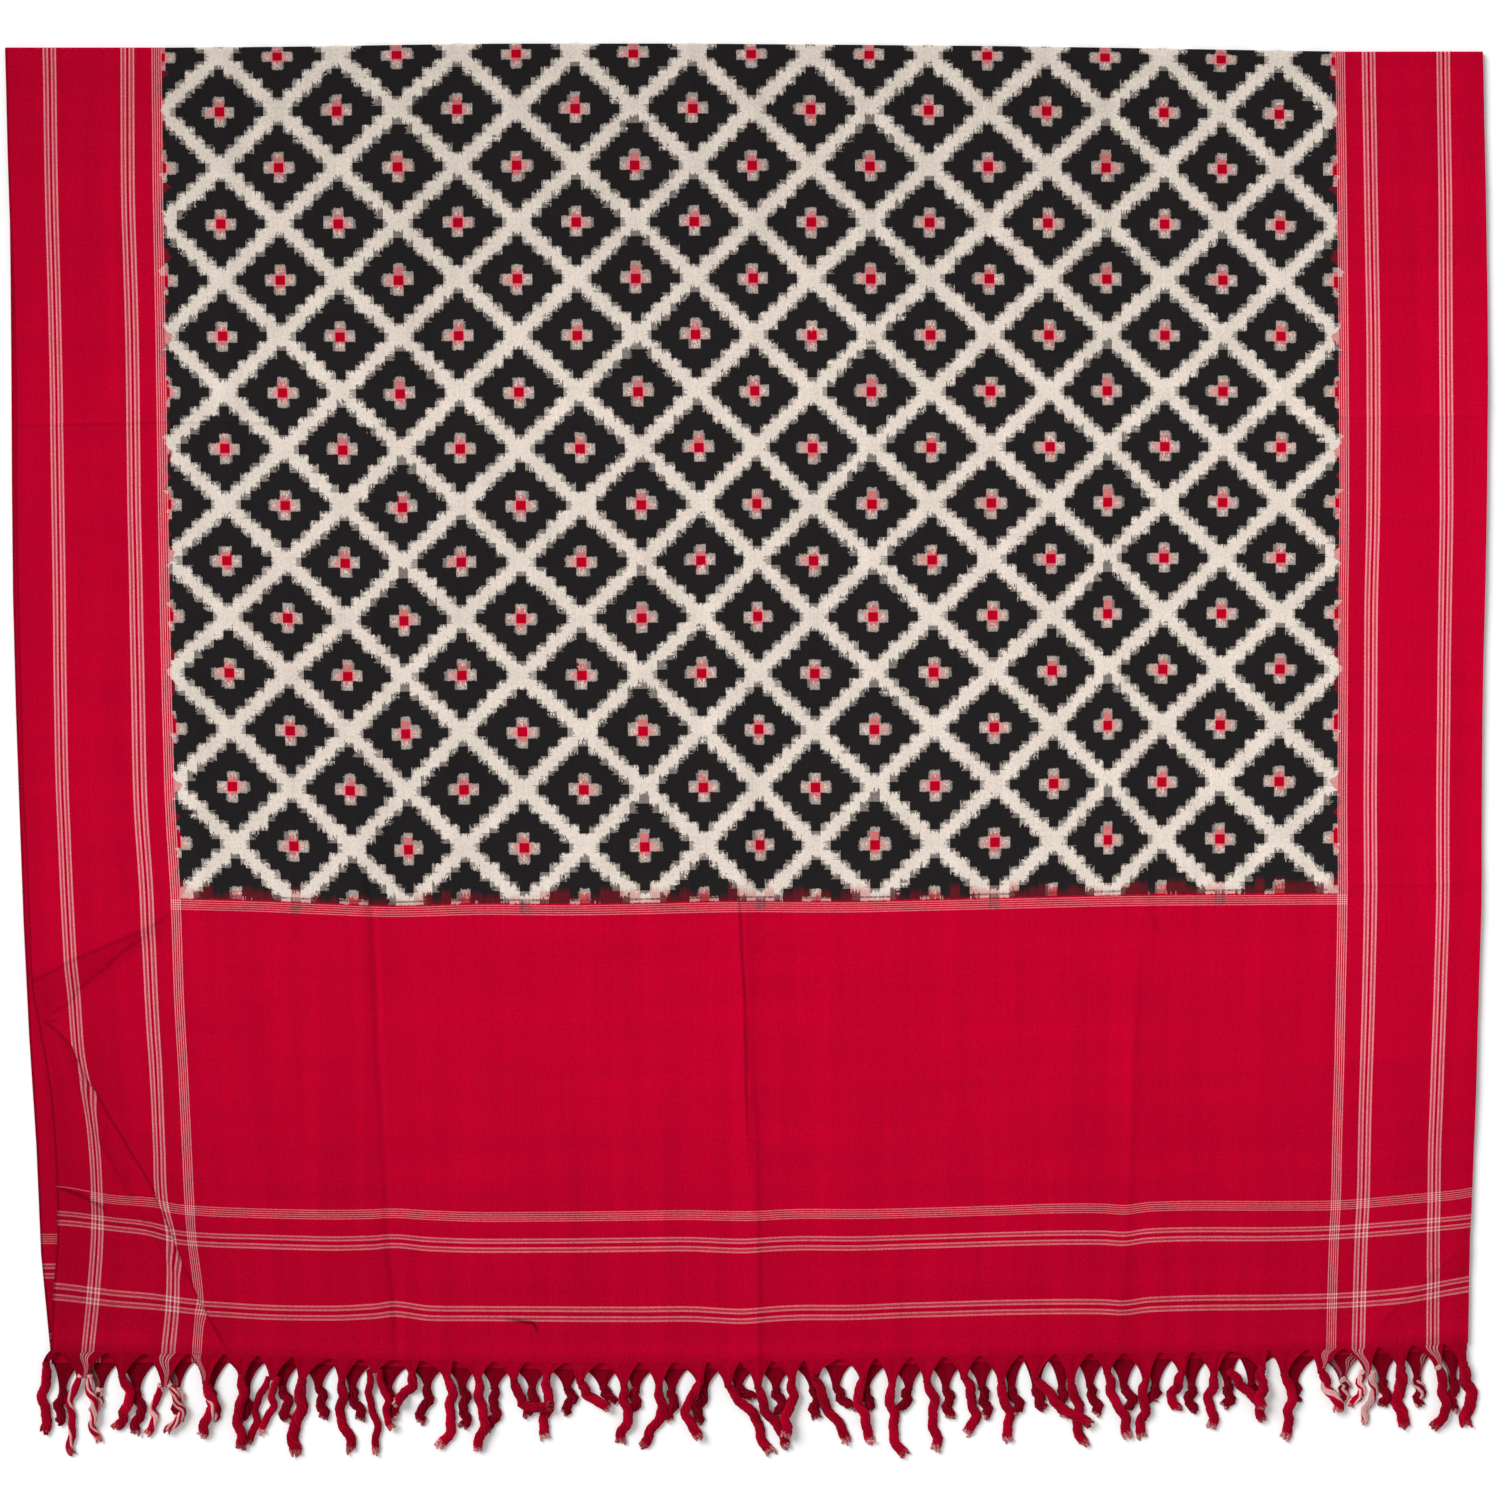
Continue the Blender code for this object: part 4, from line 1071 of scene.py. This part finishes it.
def yarn_tree():
    """Geometry nodes that turn middle lines into twisted bundles of yarn, each tied by a knot."""
    tree = bpy.data.node_groups.new("Twisted strands", "GeometryNodeTree")
    for label, kind, value in (
            ("Geometry", "Geometry", None), ("Yarns", "Int", 6), ("Yarn radius", "Float", 0.0015),
            ("Bundle radius", "Float", 0.0025), ("Flatness", "Float", 0.42),
            ("Turn length", "Float", 0.030), ("Seed", "Int", 11), ("Material", "Material", None)):
        socket = tree.interface.new_socket(label, in_out="INPUT", socket_type="NodeSocket" + kind)
        if value is not None:
            socket.default_value = value
    tree.interface.new_socket("Geometry", in_out="OUTPUT", socket_type="NodeSocketGeometry")
    n = Nodes(tree)
    given = n.add("NodeGroupInput")

    def step(kind, inputs=None, **settings):
        """The first output of a geometry node."""
        return n.add("GeometryNode" + kind, inputs, **settings)[0]

    def attribute(label):
        return n.add("GeometryNodeInputNamedAttribute", {"Name": label}, data_type="FLOAT")["Attribute"]

    def store(geometry, label, value):
        inputs = {"Geometry": geometry, "Name": label, "Value": value}
        return step("StoreNamedAttribute", inputs, data_type="FLOAT", domain="POINT")

    def join(first, second):
        joined = n.add("GeometryNodeJoinGeometry")
        for part in (first, second):
            tree.links.new(part.socket, joined.node.inputs[0])
        return joined[0]

    lines = step("MeshToCurve", {"Mesh": given["Geometry"]})
    lines = step("ResampleCurve", {"Curve": lines, "Length": 0.0021}, mode="LENGTH")
    place = n.add("GeometryNodeSplineParameter")
    lines = store(lines, "share", place["Factor"])
    lines = store(lines, "run", place["Length"])

    # Each line's copies turn about it, close at the knot and apart at the frayed tip
    inputs = {"Geometry": lines, "Amount": given["Yarns"]}
    copies = n.add("GeometryNodeDuplicateElements", inputs, domain="SPLINE")
    yarns = store(copies["Geometry"], "copy", copies["Duplicate Index"])
    inputs = {"ID": attribute("seed") * 17 + attribute("copy"), "Seed": given["Seed"]}
    yarns = store(yarns, "yarn", n.add("FunctionNodeRandomValue", inputs, data_type="FLOAT")[1])
    share, run, wide = attribute("share"), attribute("run"), attribute("wide")
    turns = attribute("copy") / given["Yarns"] + run / given["Turn length"]
    angle = (turns + attribute("seed") * 0.37) * (2 * math.pi)
    near_knot = (share * 5.0 + 0.45).at_most(1)
    frayed = (share - 0.84).at_least(0) * (attribute("yarn") * 4.0)
    reach = given["Bundle radius"] * wide * (near_knot + frayed)
    tangent = step("InputTangent")
    aside = n.vector("CROSS_PRODUCT", {0: tangent, 1: (0, 0, 1)})
    aside = n.vector("NORMALIZE", {0: aside})
    across = n.vector("SCALE", {0: aside, "Scale": angle.cosine() * reach})
    up = n.place(0.0, 0.0, angle.sine() * reach * given["Flatness"])
    offset = n.vector("ADD", {0: across, 1: up})
    yarns = step("SetPosition", {"Geometry": yarns, "Offset": offset})
    end = attribute("yarn") * 0.07 + 0.93
    yarns = step("TrimCurve", {"Curve": yarns, "End": end}, mode="FACTOR")
    profile = step("CurvePrimitiveCircle", {"Resolution": 5, "Radius": given["Yarn radius"]})
    taper = 1 - (share - 0.88).at_least(0) * 4.0
    tubes = step("CurveToMesh", {"Curve": yarns, "Profile Curve": profile,
                                 "Scale": taper * (wide * 0.6 + 0.4), "Fill Caps": True})

    # Two crossed turns of cord stand for the knot
    ring = step("CurvePrimitiveCircle", {"Resolution": 12, "Radius": 0.0021})
    cord = step("CurvePrimitiveCircle", {"Resolution": 6, "Radius": 0.0011})
    wrap = step("CurveToMesh", {"Curve": ring, "Profile Curve": cord})
    first = step("Transform", {"Geometry": wrap, "Rotation": (0.35, 0.25, 0)})
    second = step("Transform", {"Geometry": wrap, "Rotation": (-0.40, -0.15, 0.3)})
    facing = n.add("FunctionNodeAlignRotationToVector", {"Vector": tangent}, axis="Z")[0]
    size = n.vector("SCALE", {0: (1.0, 1.0, 1.0), "Scale": wide})
    knots = step("InstanceOnPoints", {
        "Points": lines, "Selection": place["Index"].is_near(0, 0.5),
        "Instance": join(first, second), "Rotation": facing, "Scale": size})
    knots = store(step("RealizeInstances", {"Geometry": knots}), "yarn", 0.42)

    whole = step("RealizeInstances", {"Geometry": join(knots, tubes)})
    # Nothing goes through the surface that the cloth lies on
    here = n.add("ShaderNodeSeparateXYZ", {0: step("InputPosition")})
    above = n.place(here[0], here[1], here[2].at_least(0.0002))
    whole = step("SetPosition", {"Geometry": whole, "Position": above})
    whole = step("SetMaterial", {"Geometry": whole, "Material": given["Material"]})
    n.add("NodeGroupOutput", {"Geometry": whole})
    return tree


def strands(name, laid, stripes, tree, values):
    """Run the node tree on one fringe's lines and keep the result as plain mesh."""
    source = bpy.data.objects.new(name + "_lines", strand_lines(name + "_lines", laid, stripes))
    bpy.context.scene.collection.objects.link(source)
    nodes = source.modifiers.new("Strands", "NODES")
    nodes.node_group = tree
    for item in tree.interface.items_tree:
        if item.in_out == "INPUT" and item.name in values:
            nodes[item.identifier] = values[item.name]
    depsgraph = bpy.context.evaluated_depsgraph_get()
    mesh = bpy.data.meshes.new_from_object(source.evaluated_get(depsgraph), depsgraph=depsgraph)
    mesh.name = name
    bpy.data.objects.remove(source, do_unlink=True)
    return new_object(name, mesh)


def stripes_of(laid, notches):
    """Share of pale yarn in each tassel, from the stretch of hem that feeds it."""
    shares = []
    spans = list(zip(notches, notches[1:]))
    for item in laid:
        centre = item.tassel.knot_across
        span = min(spans, key=lambda span: max(span[0] - centre, centre - span[1]))
        shares.append(stripe_share(*side_at_hem(np.array(span, float))))
    return shares


def plain_material(name, colour, roughness):
    """Matte paper-like ground with a faint grain."""
    material, n, shader = fabric(name, roughness, 0.0)
    grain = n.noise(n.add("ShaderNodeTexCoord")["Object"], 4.0, 2, "3D")
    low = (colour[0] * 0.985, colour[1] * 0.985, colour[2] * 0.985, 1)
    n.tree.links.new(n.blend(grain, low, colour).socket, shader.inputs["Base Color"])
    shader.inputs["Specular IOR Level"].default_value = 0.1
    return material


def studio():
    """Pale floor, soft light from all round with a key from the upper left, and the camera."""
    bpy.ops.mesh.primitive_plane_add(size=8, location=(0, 0, -0.0006))
    floor = bpy.context.object
    floor.name = "floor"
    floor.data.materials.append(plain_material("Pale floor", (0.97, 0.97, 0.97, 1), 0.9))

    world = bpy.data.worlds.new("Soft white room")
    world.use_nodes = True
    world.node_tree.nodes["Background"].inputs["Color"].default_value = (1, 1, 1, 1)
    world.node_tree.nodes["Background"].inputs["Strength"].default_value = 0.56
    bpy.context.scene.world = world

    key_data = bpy.data.lights.new("key", "SUN")
    key_data.energy = 2.55
    key_data.angle = 0.55
    key = bpy.data.objects.new("key", key_data)
    key.rotation_euler = (math.radians(-28), math.radians(-42), 0)
    bpy.context.scene.collection.objects.link(key)

    frame_width = PHOTO_SIDE * PIXEL
    camera_data = bpy.data.cameras.new("camera")
    camera_data.sensor_width = 36
    camera_data.lens = 85
    camera = bpy.data.objects.new("camera", camera_data)
    distance = camera_data.lens / camera_data.sensor_width * frame_width
    x, y = to_metres(PHOTO_SIDE / 2, PHOTO_SIDE / 2)
    camera.location = (x, y, FRONT_LEVEL + distance)
    bpy.context.scene.collection.objects.link(camera)
    bpy.context.scene.camera = camera
    bpy.context.scene.view_settings.view_transform = "Standard"
    return floor


floor = studio()
cotton = ikat_cotton("Ikat cotton", 1.0)
# The gathers' copies are darkened as painted shade: a little for the front webs, which dip below the hem,
# and much for the back webs under the front fringe
gathered_cotton = ikat_cotton("Gathered ikat cotton", 0.86)
shaded_back_gather_cotton = ikat_cotton("Gathered ikat cotton in painted shade", 0.50)
front_yarn = warp_yarn("Red warp yarn", (0.37, 0.0004, 0.0170, 1))
# The back yarn's darker red is painted shade, for strands that lie under the front fringe
shaded_back_yarn = warp_yarn("Dark red warp yarn", (0.22, 0.0004, 0.0100, 1))

cloth = folded_cloth(cotton)
covered = []
back_laid = lie_down("back_fringe", BACK_TASSELS, back_hem_down, 0.0, 4, covered)
front_laid = lie_down("front_fringe", FRONT_TASSELS, hem_down, FRONT_BASE, 6, covered)
back_knots = sorted(tassel.knot_across for tassel in BACK_TASSELS)
back_notches = midway(HEM_LEFT + 1, back_knots, HEM_RIGHT - 1)

front_gathers = gathers("front_gathers", front_laid, FRONT_NOTCHES, hem_down, front_height,
                        1, gathered_cotton)
back_gathers = gathers("back_gathers", back_laid, back_notches, back_hem_down, back_top,
                       -1, shaded_back_gather_cotton)

tree = yarn_tree()
front_strands = strands("front_strands", front_laid, stripes_of(front_laid, FRONT_NOTCHES), tree,
                        {"Material": front_yarn, "Seed": 11})
back_strands = strands("back_strands", back_laid, stripes_of(back_laid, back_notches), tree,
                       {"Material": shaded_back_yarn, "Seed": 29, "Yarns": 5})

for piece, node, slot in (
        (cloth, "folded_cloth", "ikat_cotton"), (front_gathers, "front_fringe", "warp_yarn"),
        (front_strands, "front_fringe", "warp_yarn"), (back_gathers, "back_fringe", "warp_yarn_back"),
        (back_strands, "back_fringe", "warp_yarn_back")):
    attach(piece, "root")
    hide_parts(node)
